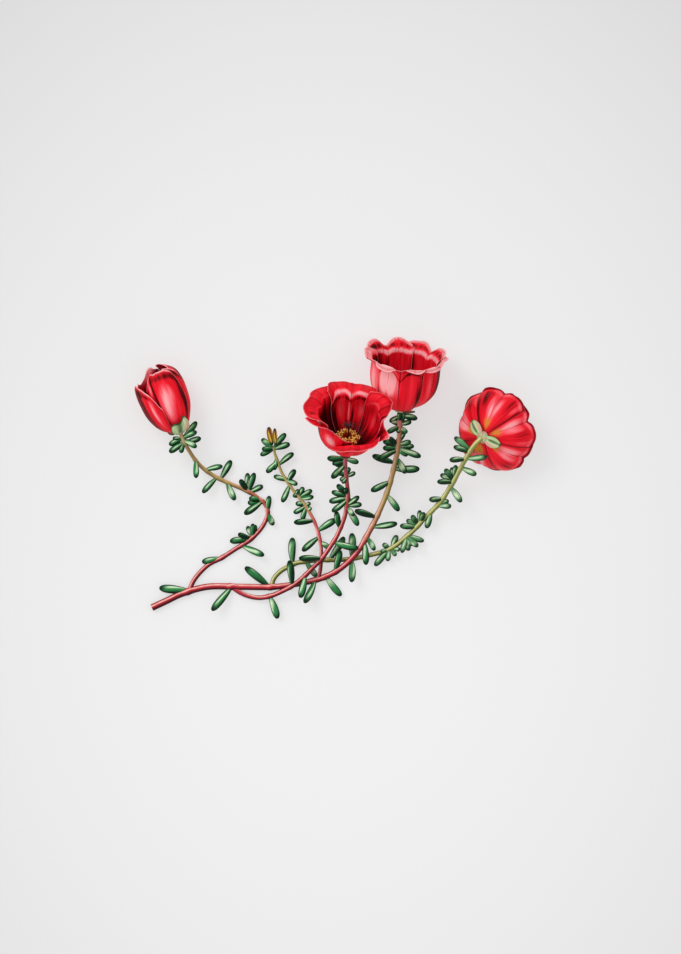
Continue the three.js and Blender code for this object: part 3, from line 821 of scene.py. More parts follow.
@dataclass(frozen=True)
class PetalSilk:
    """Silky crimson with painted patches that feather into streaks from foot to rim: pink ones are painted
    highlights and maroon ones painted shade.
    """

    name: str = "petal_silk"
    tones: tuple[tuple[float, str], ...] = (
        (0.0, "#3e0004"), (0.25, "#96020e"), (0.5, "#ee1428"), (0.74, "#ff6874"), (1.0, "#ffb6b8"),
    )
    # shade colours the painted dark line inside the edges; maroon the painted shade of the crease and of the
    # dark outline; pink the painted highlight on the edge; gold is the petal's own orange
    shade: str = "#a00414"
    maroon: str = "#400004"
    pink: str = "#ffa6aa"
    gold: str = "#d88c34"
    feathering: float = 3.6

    def material(self) -> Material:
        """Paints the material.

        Returns:
            The new material.
        """
        paint = Paint(
            self.name, Roughness=0.5, Specular_IOR_Level=0.08, Subsurface_Weight=0.1,
            Subsurface_Radius=(1.0, 0.15, 0.15), Subsurface_Scale=1.2 * MM,
        )
        along, across, tone = paint.values("along", "across", "tone")
        kinds = (Tone.INK, Tone.CREASE, Tone.GOLD, Tone.MAROON, Tone.PINK)
        ink, crease, *marks = paint.values(*(kind.value for kind in kinds))
        streak = paint.noise(1.0, paint.vector(across * 6, along * 1.2, tone * 40), 2.0)
        vein = paint.noise(1.0, paint.vector(across * 26, along * 2.4, tone * 40), 2.0)
        both = streak * 0.55 + vein * 0.45
        feather = (both - 0.5) * self.feathering + 1.0
        gold, maroon, pink = ((mark * feather).span(0.1, 1.0) for mark in marks)
        # streaky tone, raised by the painted highlights and lowered by the painted shade
        light = both.span(0.4, 0.72, 0.52, 0.33) + pink * 0.5 - maroon * 0.5
        base = paint.mix(gold, paint.ramp(light, self.tones), self.gold)
        edge = abs(across) | along
        # a painted dark line of shade just inside the edges, darker where an outline is painted
        line = edge.span(0.92, 0.965) * edge.span(0.99, 0.975) * ink.span(0, 1, 0.45, 0.8)
        base = paint.mix(line, base, paint.mix(ink, self.shade, self.maroon))
        # painted shade along the crease down the middle
        base = paint.mix(abs(across).span(0.035, 0.005) * crease, base, self.maroon)
        # a painted pale highlight on the very edge, which becomes a painted dark outline where an outline is
        # painted
        rim = edge.span(0.982, 0.995) * ink.span(0, 1, 0.45, 0.95)
        paint.bumps(vein, 0.08, 0.35)
        return paint.finish(paint.mix(rim, base, paint.mix(ink, self.pink, self.maroon)))


@dataclass(frozen=True)
class SepalSkin:
    """Pale sepal with a dark green middle, one pink half and a dark edge."""

    name: str = "sepal_skin"

    def material(self) -> Material:
        """Paints the material.

        Returns:
            The new material.
        """
        paint = Paint(self.name, Roughness=0.45, Specular_IOR_Level=0.12)
        along, across = paint.values("along", "across")
        ribs = paint.noise(1.0, paint.vector(across * 7, along))
        base = paint.mix(ribs.span(0.35, 0.65), "#dce6bc", "#9cbc7c")
        middle = abs(across + 0.2).span(0.36, 0.1) * along.span(0.15, 0.4, 0.15, 0.8)
        flush = across.span(0.1, 0.5) * along.span(0.95, 0.4) * 0.75
        base = paint.mix(flush, paint.mix(middle, base, "#38582c"), "#e08c88")
        paint.bumps(ribs, 0.15, 0.5)
        return paint.finish(paint.mix((abs(across) | along).span(0.86, 0.97, 0, 0.92), base, "#1c3010"))


@dataclass(frozen=True)
class StamenGold:
    """Orange filament that turns to a powdery golden anther with a pale tip."""

    name: str = "stamen_gold"

    def material(self) -> Material:
        """Paints the material.

        Returns:
            The new material.
        """
        paint = Paint(self.name, Roughness=0.6, Specular_IOR_Level=0.1)
        along, tone = paint.values("along", "tone")
        stops = ((0.0, "#8a1c12"), (0.6, "#c8420c"), (0.82, "#f08c10"), (0.92, "#ffb828"), (1.0, "#ffe488"))
        paint.bumps(paint.noise(2600, detail=2), 0.08, 0.7)
        return paint.finish(paint.mix(tone.span(0.5, 1, 0, 0.45), paint.ramp(along, stops), "#d84c02"))


@dataclass(frozen=True)
class PlainSkin:
    """A skin of two colours in soft streaks, for the style and the hairs."""

    name: str
    light: str
    dark: str
    roughness: float = 0.5

    def material(self) -> Material:
        """Paints the material.

        Returns:
            The new material.
        """
        paint = Paint(self.name, Roughness=self.roughness)
        grain = paint.noise(1500)
        paint.bumps(grain, 0.05, 0.5)
        return paint.finish(paint.mix(grain.span(0.35, 0.65), self.light, self.dark))


@dataclass(frozen=True)
class BudSkin:
    """Olive-brown bud with a red flush towards the tip, a painted golden highlight on the tops of its ridges
    and painted shade in the grooves between them.
    """

    name: str = "bud_skin"

    def material(self) -> Material:
        """Paints the material.

        Returns:
            The new material.
        """
        paint = Paint(self.name, Roughness=0.45, Specular_IOR_Level=0.15)
        along, across = paint.values("along", "across")
        stops = ((0.0, "#12180a"), (0.12, "#2e3412"), (0.28, "#8c7c2a"), (0.65, "#8a4a1c"), (1.0, "#401a0c"))
        # painted golden highlight on the tops of the ridges, between the foot and the tip
        ridge = across.span(0.3, 0.95) * along.span(1.0, 0.6) * along.span(0.12, 0.3) * 0.85
        # painted shade in the grooves between the ridges
        groove_shade = across.span(-0.5, -0.95) * 0.85
        paint.bumps(paint.noise(900), 0.08, 0.5)
        base = paint.mix(ridge, paint.ramp(along, stops), "#e8c04c")
        return paint.finish(paint.mix(groove_shade, base, "#2c1a0a"))


# ------------------------------------------------------------------------------------- leafy stems
@dataclass(frozen=True)
class Strand:
    """A line of points with a radius at each, which becomes one tube."""

    points: Array
    radii: Array
    tone: float = 0.0


def wire(strands: list[Strand], name: str) -> Mesh:
    """Puts strands together for a sweep.

    Args:
        strands: The strands.
        name: The name of the mesh.

    Returns:
        A mesh of edges in metres, with radius, along and tone at each point.
    """
    sizes = [len(strand.points) for strand in strands]
    starts = np.cumsum([0, *sizes]).tolist()
    edges = [[start + i, start + i + 1] for start, size in zip(starts, sizes) for i in range(size - 1)]
    mesh = bpy.data.meshes.new(name)
    mesh.from_pydata(in_scene(np.vstack([strand.points for strand in strands])), edges, [])
    values = {
        "radius": np.concatenate([strand.radii for strand in strands]) * MM,
        "along": np.concatenate([np.linspace(0, 1, size) for size in sizes]),
        "tone": np.repeat([strand.tone for strand in strands], sizes),
    }
    write_values(mesh, values)
    return mesh


@dataclass(frozen=True)
class StemPlan:
    """Thickness, route and leaves of a stem, which ends at the foot of its bloom or bud.

    A leaf is (distance from the root, direction, length, lift): the distance and the direction are
    those seen from above, and the lift is given only where it is not the usual one.
    """

    name: str
    radius: tuple[float, float]
    bark: Bark
    skin: LeafSkin
    route: tuple[Point, ...]
    leaves: tuple[Values, ...]


@dataclass
class LeafyStem:
    """A stem with its leaves and the hairs in their axils."""

    plan: StemPlan
    sweep: SweepTree
    hairs: HairTree
    leaf_width: float = 1.9
    width_per_length: float = 0.14
    leaf_thickness: float = 0.62
    width_spread: tuple[float, float] = (0.92, 1.08)
    foot_width: float = 0.36
    widest_at: float = 0.62
    tip_length: float = 0.39
    bluntness: float = 2.6
    leaf_bend: float = 0.05
    droop: float = 0.1
    lifts: Values = (8, 24, 14, 36, 4, 20)
    bedding: float = 0.92
    bedded_below: float = 3.0
    stem_sides: int = 20
    leaf_sides: int = 16
    leaf_points: int = 16
    node_swelling: float = 0.16
    node_length: float = 1.3
    hairs_each: int = 7
    shortest_hair: float = 0.4

    def stem_strand(self, line: Line) -> Strand:
        """The stem, a little thicker wherever leaves grow from it.

        Args:
            line: Its centreline.

        Returns:
            Its strand.
        """
        share = np.linspace(0, 1, int(line.length))
        radius = blend(*self.plan.radius, share)
        for root in sorted({round(leaf[0] / 2) * 2 for leaf in self.plan.leaves}):
            place = line.share_seen_from_above(root)
            radius = radius * (1 + self.node_swelling * hump(share, place, self.node_length / line.length))
        points = line.at(share)
        lowest = np.maximum(points[:, 2], radius * self.bedding)
        points[:, 2] = np.where(points[:, 2] < self.bedded_below, lowest, points[:, 2])
        return Strand(points, radius)

    def leaf_strand(self, foot: Array, leaf: Values, lift: float, turn: Array) -> Strand:
        """One leaf: a narrow foot, widest past the middle, a blunt tip.

        Args:
            foot: Where it grows from the centreline of the stem.
            leaf: Distance, direction and length.
            lift: The angle above the horizontal.
            turn: Random numbers for its sideways bend, its width and its tone.

        Returns:
            The leaf's centreline with its half width.
        """
        length = leaf[2]
        heading, tilt = math.radians(leaf[1]), math.radians(lift)
        along = unit(np.array([math.cos(heading), math.sin(heading), math.tan(tilt)]))
        aside = np.array([-math.sin(heading), math.cos(heading), 0.0])
        t = 1 - (1 - np.linspace(0, 1, self.leaf_points)) ** 1.4
        points = foot + np.outer(length / math.cos(tilt) * t, along)
        points -= np.outer(self.droop * length * t**2, UP)
        points += np.outer(turn[0] * self.leaf_bend * length * np.sin(math.pi * t * 0.8), aside)
        half = (self.leaf_width + self.width_per_length * length) / 2 * blend(*self.width_spread, turn[1])
        swell = np.sin(np.clip(t / self.widest_at, 0, 1) * math.pi / 2)
        past = np.clip((t - self.widest_at) / self.tip_length, 0, 1)
        taper = np.sqrt(np.clip(1 - past**self.bluntness, 0.004, 1))
        return Strand(points, half * blend(self.foot_width, 1.0, swell) * taper, float(turn[2]))

    def leaf_strands(self, line: Line) -> list[Strand]:
        """Every leaf of the stem.

        Args:
            line: The centreline of the stem.

        Returns:
            Their strands.
        """
        numbers = np.random.default_rng(SEED + len(self.plan.leaves))
        strands = []
        for index, leaf in enumerate(self.plan.leaves):
            lift = leaf[3] if len(leaf) > 3 else self.lifts[index % len(self.lifts)]
            foot = line.at(line.share_seen_from_above(leaf[0]))
            strands.append(self.leaf_strand(foot, leaf, lift, numbers.uniform((-1, 0, 0), 1)))
        return strands

    def hair_roots(self, leaves: list[Strand]) -> Mesh:
        """Where the hairs grow.

        Args:
            leaves: The strands of the leaves.

        Returns:
            A mesh with a point at the foot of each leaf, where it leaves the bark.
        """
        thick = self.plan.radius[0]
        points = [leaf.points[0] + thick * unit(leaf.points[3] - leaf.points[0]) for leaf in leaves]
        mesh = bpy.data.meshes.new(self.plan.name + "_axils")
        mesh.from_pydata(in_scene(np.array(points)), [], [])
        return mesh

    def build(self, hair: Object, hair_finish: Material) -> None:
        """Makes the stem, its leaves and its hairs.

        Args:
            hair: The pattern of one hair.
            hair_finish: The material of the hairs.
        """
        plan, line = self.plan, Line(self.plan.route)
        leaves = self.leaf_strands(line)
        skins = (
            ("bark", [self.stem_strand(line)], self.stem_sides, 1.0, plan.bark, (plan.name,)),
            ("leaves", leaves, self.leaf_sides, self.leaf_thickness, plan.skin, ()),
        )
        for kind, strands, sides, flatness, finish, nodes in skins:
            mesh = self.sweep.grow(
                wire(strands, plan.name), f"{plan.name}_{kind}",
                Sides=sides, Flatness=flatness, Finish=finish.material(),
            )
            piece(mesh, Slot.LEAF, *nodes)
        hairs = self.hairs.grow(
            self.hair_roots(leaves), plan.name + "_hairs",
            Each=self.hairs_each, Shortest=self.shortest_hair, Hair=hair, Finish=hair_finish,
        )
        piece(hairs, Slot.LEAF)


# ------------------------------------------------------------------------------------------ blooms
@dataclass(frozen=True)
class Patch:
    """A soft patch of colour on a petal: a painted highlight, painted shade, or the petal's own gold.

    A level patch keeps its height round the bloom, whatever share of the section the petal reaches.
    """

    tone: Tone
    side: Side
    across: float
    along: float
    width: float
    height: float
    strength: float = 1.0
    level: bool = False

    def at(self, u: Array, v: Array, face: float, reach: Array) -> Array:
        """Its strength on a petal.

        Args:
            u: Shares of the petal from foot to rim.
            v: Places from edge to edge.
            face: 1 for the inner face, 0 for the outer one.
            reach: Share of the section that the petal reaches.

        Returns:
            The strength at each point.
        """
        if self.side is not Side.BOTH and self.side.value != face:
            return np.zeros_like(u)
        share = u * reach if self.level else u
        return self.strength * hump(v, self.across, self.width) * hump(share, self.along, self.height)


def glow(*shape: float) -> Patch:
    """A pink light on the outer face."""
    return Patch(Tone.PINK, Side.OUTER, *shape)


def light(*shape: float) -> Patch:
    """A pink light on the inner face."""
    return Patch(Tone.PINK, Side.INNER, *shape)


def lip(along: float, height: float, strength: float = 1.0) -> Patch:
    """A painted pink highlight along the rim of the inner face."""
    return light(0, along, 4, height, strength)


def shade(*shape: float) -> Patch:
    """A maroon shadow on the outer face."""
    return Patch(Tone.MAROON, Side.OUTER, *shape)


def hollow(*shape: float) -> Patch:
    """A maroon shadow on the inner face."""
    return Patch(Tone.MAROON, Side.INNER, *shape)


def crease_shade(strength: float) -> Patch:
    """A painted dark line of shade along the crease down the middle of a petal."""
    return Patch(Tone.CREASE, Side.BOTH, 0, 0.75, 4, 0.35, strength)


# painted shade deep in the cup at the feet of the petals, and along their edges where they overlap
FOOT_PATCHES = (
    hollow(0, 0.1, 3, 0.3),
    hollow(-1, 0.4, 0.3, 0.4, 0.7),
    hollow(1, 0.4, 0.3, 0.4, 0.7),
    shade(1, 0.4, 0.2, 0.5, 0.6),
    shade(-1, 0.4, 0.2, 0.5, 0.6),
)


@dataclass(frozen=True)
class PetalPlan:
    """Where a petal stands round the axis, how far it reaches and how its rim turns.

    The tuples hold values at even steps from one edge of the petal to the other: the rim is the share of
    the section that the petal reaches, the flare is how far its rim leans outwards, the roll is the angle
    that its rim rolls outwards in degrees, the lap is how far it lies outside the section and the lift is
    how far its rim is bent straight up.
    """

    azimuth: float
    rim: Values
    width: float = 44.0
    flare: Values = (0, 0)
    roll: Values = (0, 0)
    roll_from: float = 0.86
    lap: Values = (-0.8, 0.8)
    lift: Values = (0, 0)
    patches: tuple[Patch, ...] = ()


@dataclass(frozen=True)
class BloomPlan:
    """Place, section and parts of a bloom; azimuths turn about its own axis."""

    name: str
    foot: Point
    axis: Point
    section: tuple[tuple[float, float], ...]
    notch: float
    petals: tuple[PetalPlan, ...]
    sepals: tuple[float, float]
    sepal_length: float
    sepal_width: float
    stamens: int
    stamen_height: float
    stamen_reach: float
    style: float
    ruffle: float
    patches: tuple[Patch, ...]
    pleat: float = 1.0
    sepal_rim: Values = (1, 1)
    sepal_narrowing: float = 0.95


@dataclass
class Bloom:
    """A bloom: five petals, a calyx, stamens and a pistil."""

    plan: BloomPlan
    sweep: SweepTree
    rings: StamenTree
    petal_thickness: float = 0.4
    claw_share: float = 0.87
    blade_from: float = 0.4
    lap_from: float = 0.03
    lap_full: float = 0.25
    notch_width: float = 0.14
    nicks: tuple[tuple[float, float], ...] = ((0.006, 6), (0.004, 13))
    lobe_puff: float = 0.9
    crease: float = 0.35
    crease_width: float = 0.07
    petal_shape: tuple[int, int] = (62, 53)
    sepal_shape: tuple[int, int] = (26, 21)
    disc: tuple[tuple[float, float], ...] = ((0.8, 2.1), (2.5, 2.15), (2.6, 2.7), (2.2, 3.3), (0.8, 3.4))
    disc_sides: int = 24
    cup: tuple[tuple[float, float], ...] = (
        (0.7, 0.02), (1.25, 0.0), (2.3, 0.5), (3.1, 1.2), (3.2, 1.55), (2.9, 1.75), (1.0, 1.75),
    )
    cup_sides: int = 30
    cup_ribs: float = 0.03
    sepal_root_offset: float = 1.25
    sepal_offset: float = 1.9
    sepal_offset_full: float = 0.08
    sepal_keel: float = 0.25
    sepal_thickness: float = 0.6
    stamen_rings: tuple[float, float] = (1.2, 2.3)
    style_points: int = 14
    style_sides: int = 10
    style_radii: tuple[float, float] = (0.55, 0.34)
    ovary: float = 0.35
    arms: int = 8
    arm_length: float = 3.6
    arm_radii: tuple[float, float] = (0.26, 0.34)
    foot_height: float = 3.65
    section: Line = field(init=False)
    place: Array = field(init=False)

    def __post_init__(self) -> None:
        """Fits the section and finds the matrix from the bloom's own frame to the sprig's."""
        self.section = Line(self.plan.section, loose_ends=False)
        self.place = stand(self.plan.foot, self.plan.axis)

    def over_section(self, share: Array, offset: Array, angle: Array, out: Array) -> Array:
        """Points round the axis.

        Args:
            share: Shares of the section from its foot to its rim.
            offset: How far they lie outside the section, at right angles to it.
            angle: Angles about the axis in radians.
            out: How far they are moved straight away from the axis.

        Returns:
            The points in the bloom's own frame.
        """
        flat, ahead = self.section.at(share), self.section.ahead(share)
        radius = flat[..., 0] + ahead[..., 1] * offset + out
        return rings_about(angle, radius, flat[..., 1] - ahead[..., 0] * offset)

    def petal_surface(self, petal: PetalPlan, turn: Array) -> Callable:
        """The middle surface of a petal.

        Args:
            petal: The petal.
            turn: Random numbers that shape its ruffles.

        Returns:
            A function of u from foot to rim and v from edge to edge that gives its points.
        """
        plan = self.plan

        def surface(u: Array, v: Array) -> Array:
            """Points of the petal.

            Args:
                u: Shares of it from foot to tip.
                v: Places from edge to edge.

            Returns:
                The points in the bloom's own frame.
            """
            lobe = np.sin(math.pi * np.clip(np.abs(v), 0, 1))
            nick = sum(deep * np.sin(often * v + 6 * start) for (deep, often), start in zip(self.nicks, turn))
            reach = spread(petal.rim, v) * (1 - plan.notch * hump(v, 0, self.notch_width) + nick)
            share, offset = self.rolled_rim(petal, u, v, reach)
            half = np.radians(petal.width * blend(self.claw_share, 1.0, smooth(share, 0, self.blade_from)))
            offset += spread(petal.lap, v) * smooth(share, self.lap_from, self.lap_full)
            body = plan.pleat * smooth(share, 0.1, 0.45)
            offset += body * (self.lobe_puff * (lobe - 0.5) - self.crease * hump(v, 0, self.crease_width))
            wave = np.sin(math.pi * 1.3 * v + 6 * turn[2]) + 0.3 * np.sin(math.pi * 3.4 * v + 6 * turn[3])
            offset += plan.ruffle * wave * smooth(u, 0.7, 1.0)
            out = spread(petal.flare, v) * share**4
            points = self.over_section(share, offset, math.radians(petal.azimuth) + v * half, out)
            lift = spread(petal.lift, v) * smooth(share, 0.5, 0.85)
            return points + lift[..., None] * (UP @ self.place[:3, :3])

        return surface

    def rolled_rim(self, petal: PetalPlan, u: Array, v: Array, reach: Array) -> tuple[Array, Array]:
        """Rolls the last part of a petal outwards on an arc.

        Args:
            petal: The petal, with the angle of its roll.
            u: Shares of the petal from foot to rim.
            v: Places from edge to edge.
            reach: Share of the section that the petal reaches.

        Returns:
            The shares of the section, and how far the points lie outside it.
        """
        past = np.clip(u - petal.roll_from, 0, 1)
        rolled = past * reach * self.section.length
        angle = np.radians(spread(petal.roll, v)) * past / (1 - petal.roll_from)
        ahead = rolled * np.sinc(angle / math.pi)
        outward = rolled * angle / 2 * np.sinc(angle / (2 * math.pi)) ** 2
        return np.minimum(u, petal.roll_from) * reach + ahead / self.section.length, outward

    def marks(self, petal: PetalPlan) -> dict[str, Callable]:
        """The tones of a petal.

        Args:
            petal: The petal.

        Returns:
            Functions of u, v and the face that give the strength of each tone.
        """
        patches = FOOT_PATCHES + self.plan.patches + petal.patches

        def strength(tone: Tone) -> Callable:
            """Sums the patches of one tone.

            Args:
                tone: The tone.

            Returns:
                A function of u, v and the face.
            """
            mine = [patch for patch in patches if patch.tone is tone]
            return lambda u, v, face: np.clip(
                sum((patch.at(u, v, face, spread(petal.rim, v)) for patch in mine), 0 * u), 0, 1.3
            )

        return {tone.value: strength(tone) for tone in Tone}

    def corolla(self, finish: Material) -> None:
        """Makes the petals and the small disc that holds their claws, which gets the same painted shade as
        their feet.

        Args:
            finish: The material of the petals.
        """
        draft = Draft()
        numbers = np.random.default_rng(SEED + len(self.plan.name))
        for petal in self.plan.petals:
            turn = numbers.uniform(0, 1, 5)
            add_blade(
                draft, self.petal_surface(petal, turn), self.petal_shape, self.petal_thickness,
                tone=lambda u, v, face: turn[4], **self.marks(petal),
            )
        # the disc lies wholly in the painted maroon shade
        dark = {tone.value: float(tone is Tone.MAROON) for tone in Tone}
        add_lathe(draft, self.disc, self.disc_sides, 0.0, tone=0.0, **dark)
        mesh = draft.mesh(f"petals_{self.plan.name}", self.place, finish)
        piece(mesh, Slot.PETAL, f"corolla_{self.plan.name}")

    def calyx(self, finish: Material) -> None:
        """Makes the cup under the bloom with its pair of sepals.

        Args:
            finish: The material of the calyx.
        """
        plan, draft = self.plan, Draft()
        add_lathe(draft, self.cup, self.cup_sides, self.cup_ribs)
        for azimuth in plan.sepals:

            def surface(u: Array, v: Array) -> Array:
                """Points of the sepal.

                Args:
                    u: Shares of it from foot to tip.
                    v: Places from edge to edge.

                Returns:
                    The points in the bloom's own frame.
                """
                share = u * plan.sepal_length * spread(plan.sepal_rim, v)
                grown = smooth(share, 0, self.sepal_offset_full)
                offset = blend(self.sepal_root_offset, self.sepal_offset, grown)
                offset += self.sepal_keel * (1 - v**2) * u
                half = plan.sepal_width * (1 - plan.sepal_narrowing * u**1.7)
                return self.over_section(share, offset, np.radians(azimuth + v * half), 0 * share)

            add_blade(draft, surface, self.sepal_shape, self.sepal_thickness)
        piece(draft.mesh(f"sepals_{plan.name}", self.place, finish), Slot.SEPAL, f"calyx_{plan.name}")

    def stamens(self, stamen: Object, finish: Material) -> None:
        """Makes the stamens in their rings.

        Args:
            stamen: The pattern of one stamen.
            finish: The material of the stamens.
        """
        plan, (inner, outer) = self.plan, self.stamen_rings
        mesh = self.rings.grow(
            bpy.data.meshes.new("rings"), f"anthers_{plan.name}",
            Count=plan.stamens, Foot=self.foot_height * MM, Inner=inner * MM, Outer=outer * MM,
            Height=plan.stamen_height * MM, Reach=plan.stamen_reach * MM, Stamen=stamen, Finish=finish,
        )
        matrix = self.place.copy()
        matrix[:3, 3] = (matrix[:3, 3] + MIDDLE) * MM
        mesh.transform(Matrix(matrix.tolist()))
        piece(mesh, Slot.STAMEN, f"stamens_{plan.name}")

    def pistil(self, finish: Material) -> None:
        """Makes the style with the spread arms of the stigma.

        Args:
            finish: The material of the pistil.
        """
        t = np.linspace(0, 1, self.style_points)
        height = self.foot_height + self.plan.style * t
        style = np.stack([0.25 * np.sin(t * 4), 0.2 * np.sin(t * 3), height], axis=-1)
        strands = [self.placed(style, blend(*self.style_radii, t) + self.ovary * hump(t, 0, 0.1))]
        radius = blend(*self.arm_radii, t) * np.sqrt(np.clip(1 - t**6, 0.02, 1))
        for arm in range(self.arms):
            angle = 2 * math.pi * (arm + 0.3) / self.arms
            out = self.arm_length * t[:, None] * np.array([math.cos(angle), math.sin(angle), 0])
            bend = np.outer(0.9 * np.sin(t * 2.4) - 0.5, UP)
            strands.append(self.placed(style[-1] + out + bend, radius, arm / self.arms))
        name = self.plan.name
        mesh = self.sweep.grow(wire(strands, "style"), f"style_{name}", Sides=self.style_sides, Finish=finish)
        piece(mesh, Slot.PISTIL, f"pistil_{name}")

    def placed(self, points: Array, radii: Array, tone: float = 0.0) -> Strand:
        """A strand whose points are given in the bloom's own frame."""
        return Strand(points @ self.place[:3, :3].T + self.place[:3, 3], radii, tone)

    def build(self, stamen: Object, finishes: dict[Slot, Material]) -> None:
        """Makes every piece of the bloom.

        Args:
            stamen: The pattern of one stamen.
            finishes: The material of each slot.
        """
        self.corolla(finishes[Slot.PETAL])
        self.calyx(finishes[Slot.SEPAL])
        self.stamens(stamen, finishes[Slot.STAMEN])
        self.pistil(finishes[Slot.PISTIL])


@dataclass
class Bud:
    """A closed bud: a plump spindle whose scales wrap it in five low ridges."""

    name: str
    foot: Point
    axis: Point
    length: float
    width: float
    ridge: float = 0.09
    twist: float = 0.9
    widest_at: float = 0.5
    tip_length: float = 0.52
    bluntness: float = 2.2
    rows: int = 22
    sides: int = 30

    def build(self, finish: Material) -> None:
        """Makes the bud.

        Args:
            finish: The material of the bud.
        """
        t, angle = np.linspace(0, 1, self.rows)[:, None], turns(self.sides)
        plump = 0.5 + 0.5 * np.sin(np.clip(t / self.widest_at, 0, 1) * math.pi / 2)
        past = np.clip((t - self.widest_at) / self.tip_length, 0, 1)
        tip = np.sqrt(np.clip(1 - past**self.bluntness, 0.01, 1))
        radius = self.width / 2 * np.where(t > self.widest_at, tip, plump)
        ribs = np.abs(np.cos(2.5 * (angle + self.twist * t))) * 2 - 1
        draft = Draft()
        rings = rings_about(angle, radius * (1 + self.ridge * ribs), self.length * t)
        draft.add_rings(rings, along=t, across=ribs)
        mesh = draft.mesh(f"{self.name}_scales", stand(self.foot, self.axis), finish)
        piece(mesh, Slot.BUD, self.name)


# ---------------------------------------------------------------------------- the sprig's own plan
RED_TO_OLIVE = Bark(
    "bark_main",
    (
        (0.0, "#b42c3a"), (0.3, "#cc3442"), (0.6, "#cc3c46"), (0.68, "#cc8a68"), (0.78, "#bca85c"),
        (0.9, "#cca270"), (1.0, "#e07878"),
    ),
)
RED_TO_TAN = Bark(
    "bark_left",
    ((0.0, "#b83440"), (0.42, "#c43c46"), (0.55, "#b86a50"), (0.7, "#b8a060"), (1.0, "#c8a878")),
)
ALL_RED = Bark("bark_front", ((0.0, "#c03642"), (0.6, "#c83c48"), (0.8, "#b85048"), (1.0, "#d87080")))
PINK_TO_OLIVE = Bark("bark_bud", ((0.0, "#cc4c56"), (0.4, "#d05a60"), (0.55, "#c0a06a"), (1.0, "#a8a45c")))
PALE_OLIVE = Bark(
    "bark_right", ((0.0, "#9a9a52"), (0.4, "#b0ac5c"), (1.0, "#bcc070")), shade="#4c5424", painted_sheen="#e8e8b0",
)
GREEN = LeafSkin("leaf_skin")
PALE_GREEN = LeafSkin("pale_leaf_skin", "#5c9c66", "#dcf2c8", "#08240e")

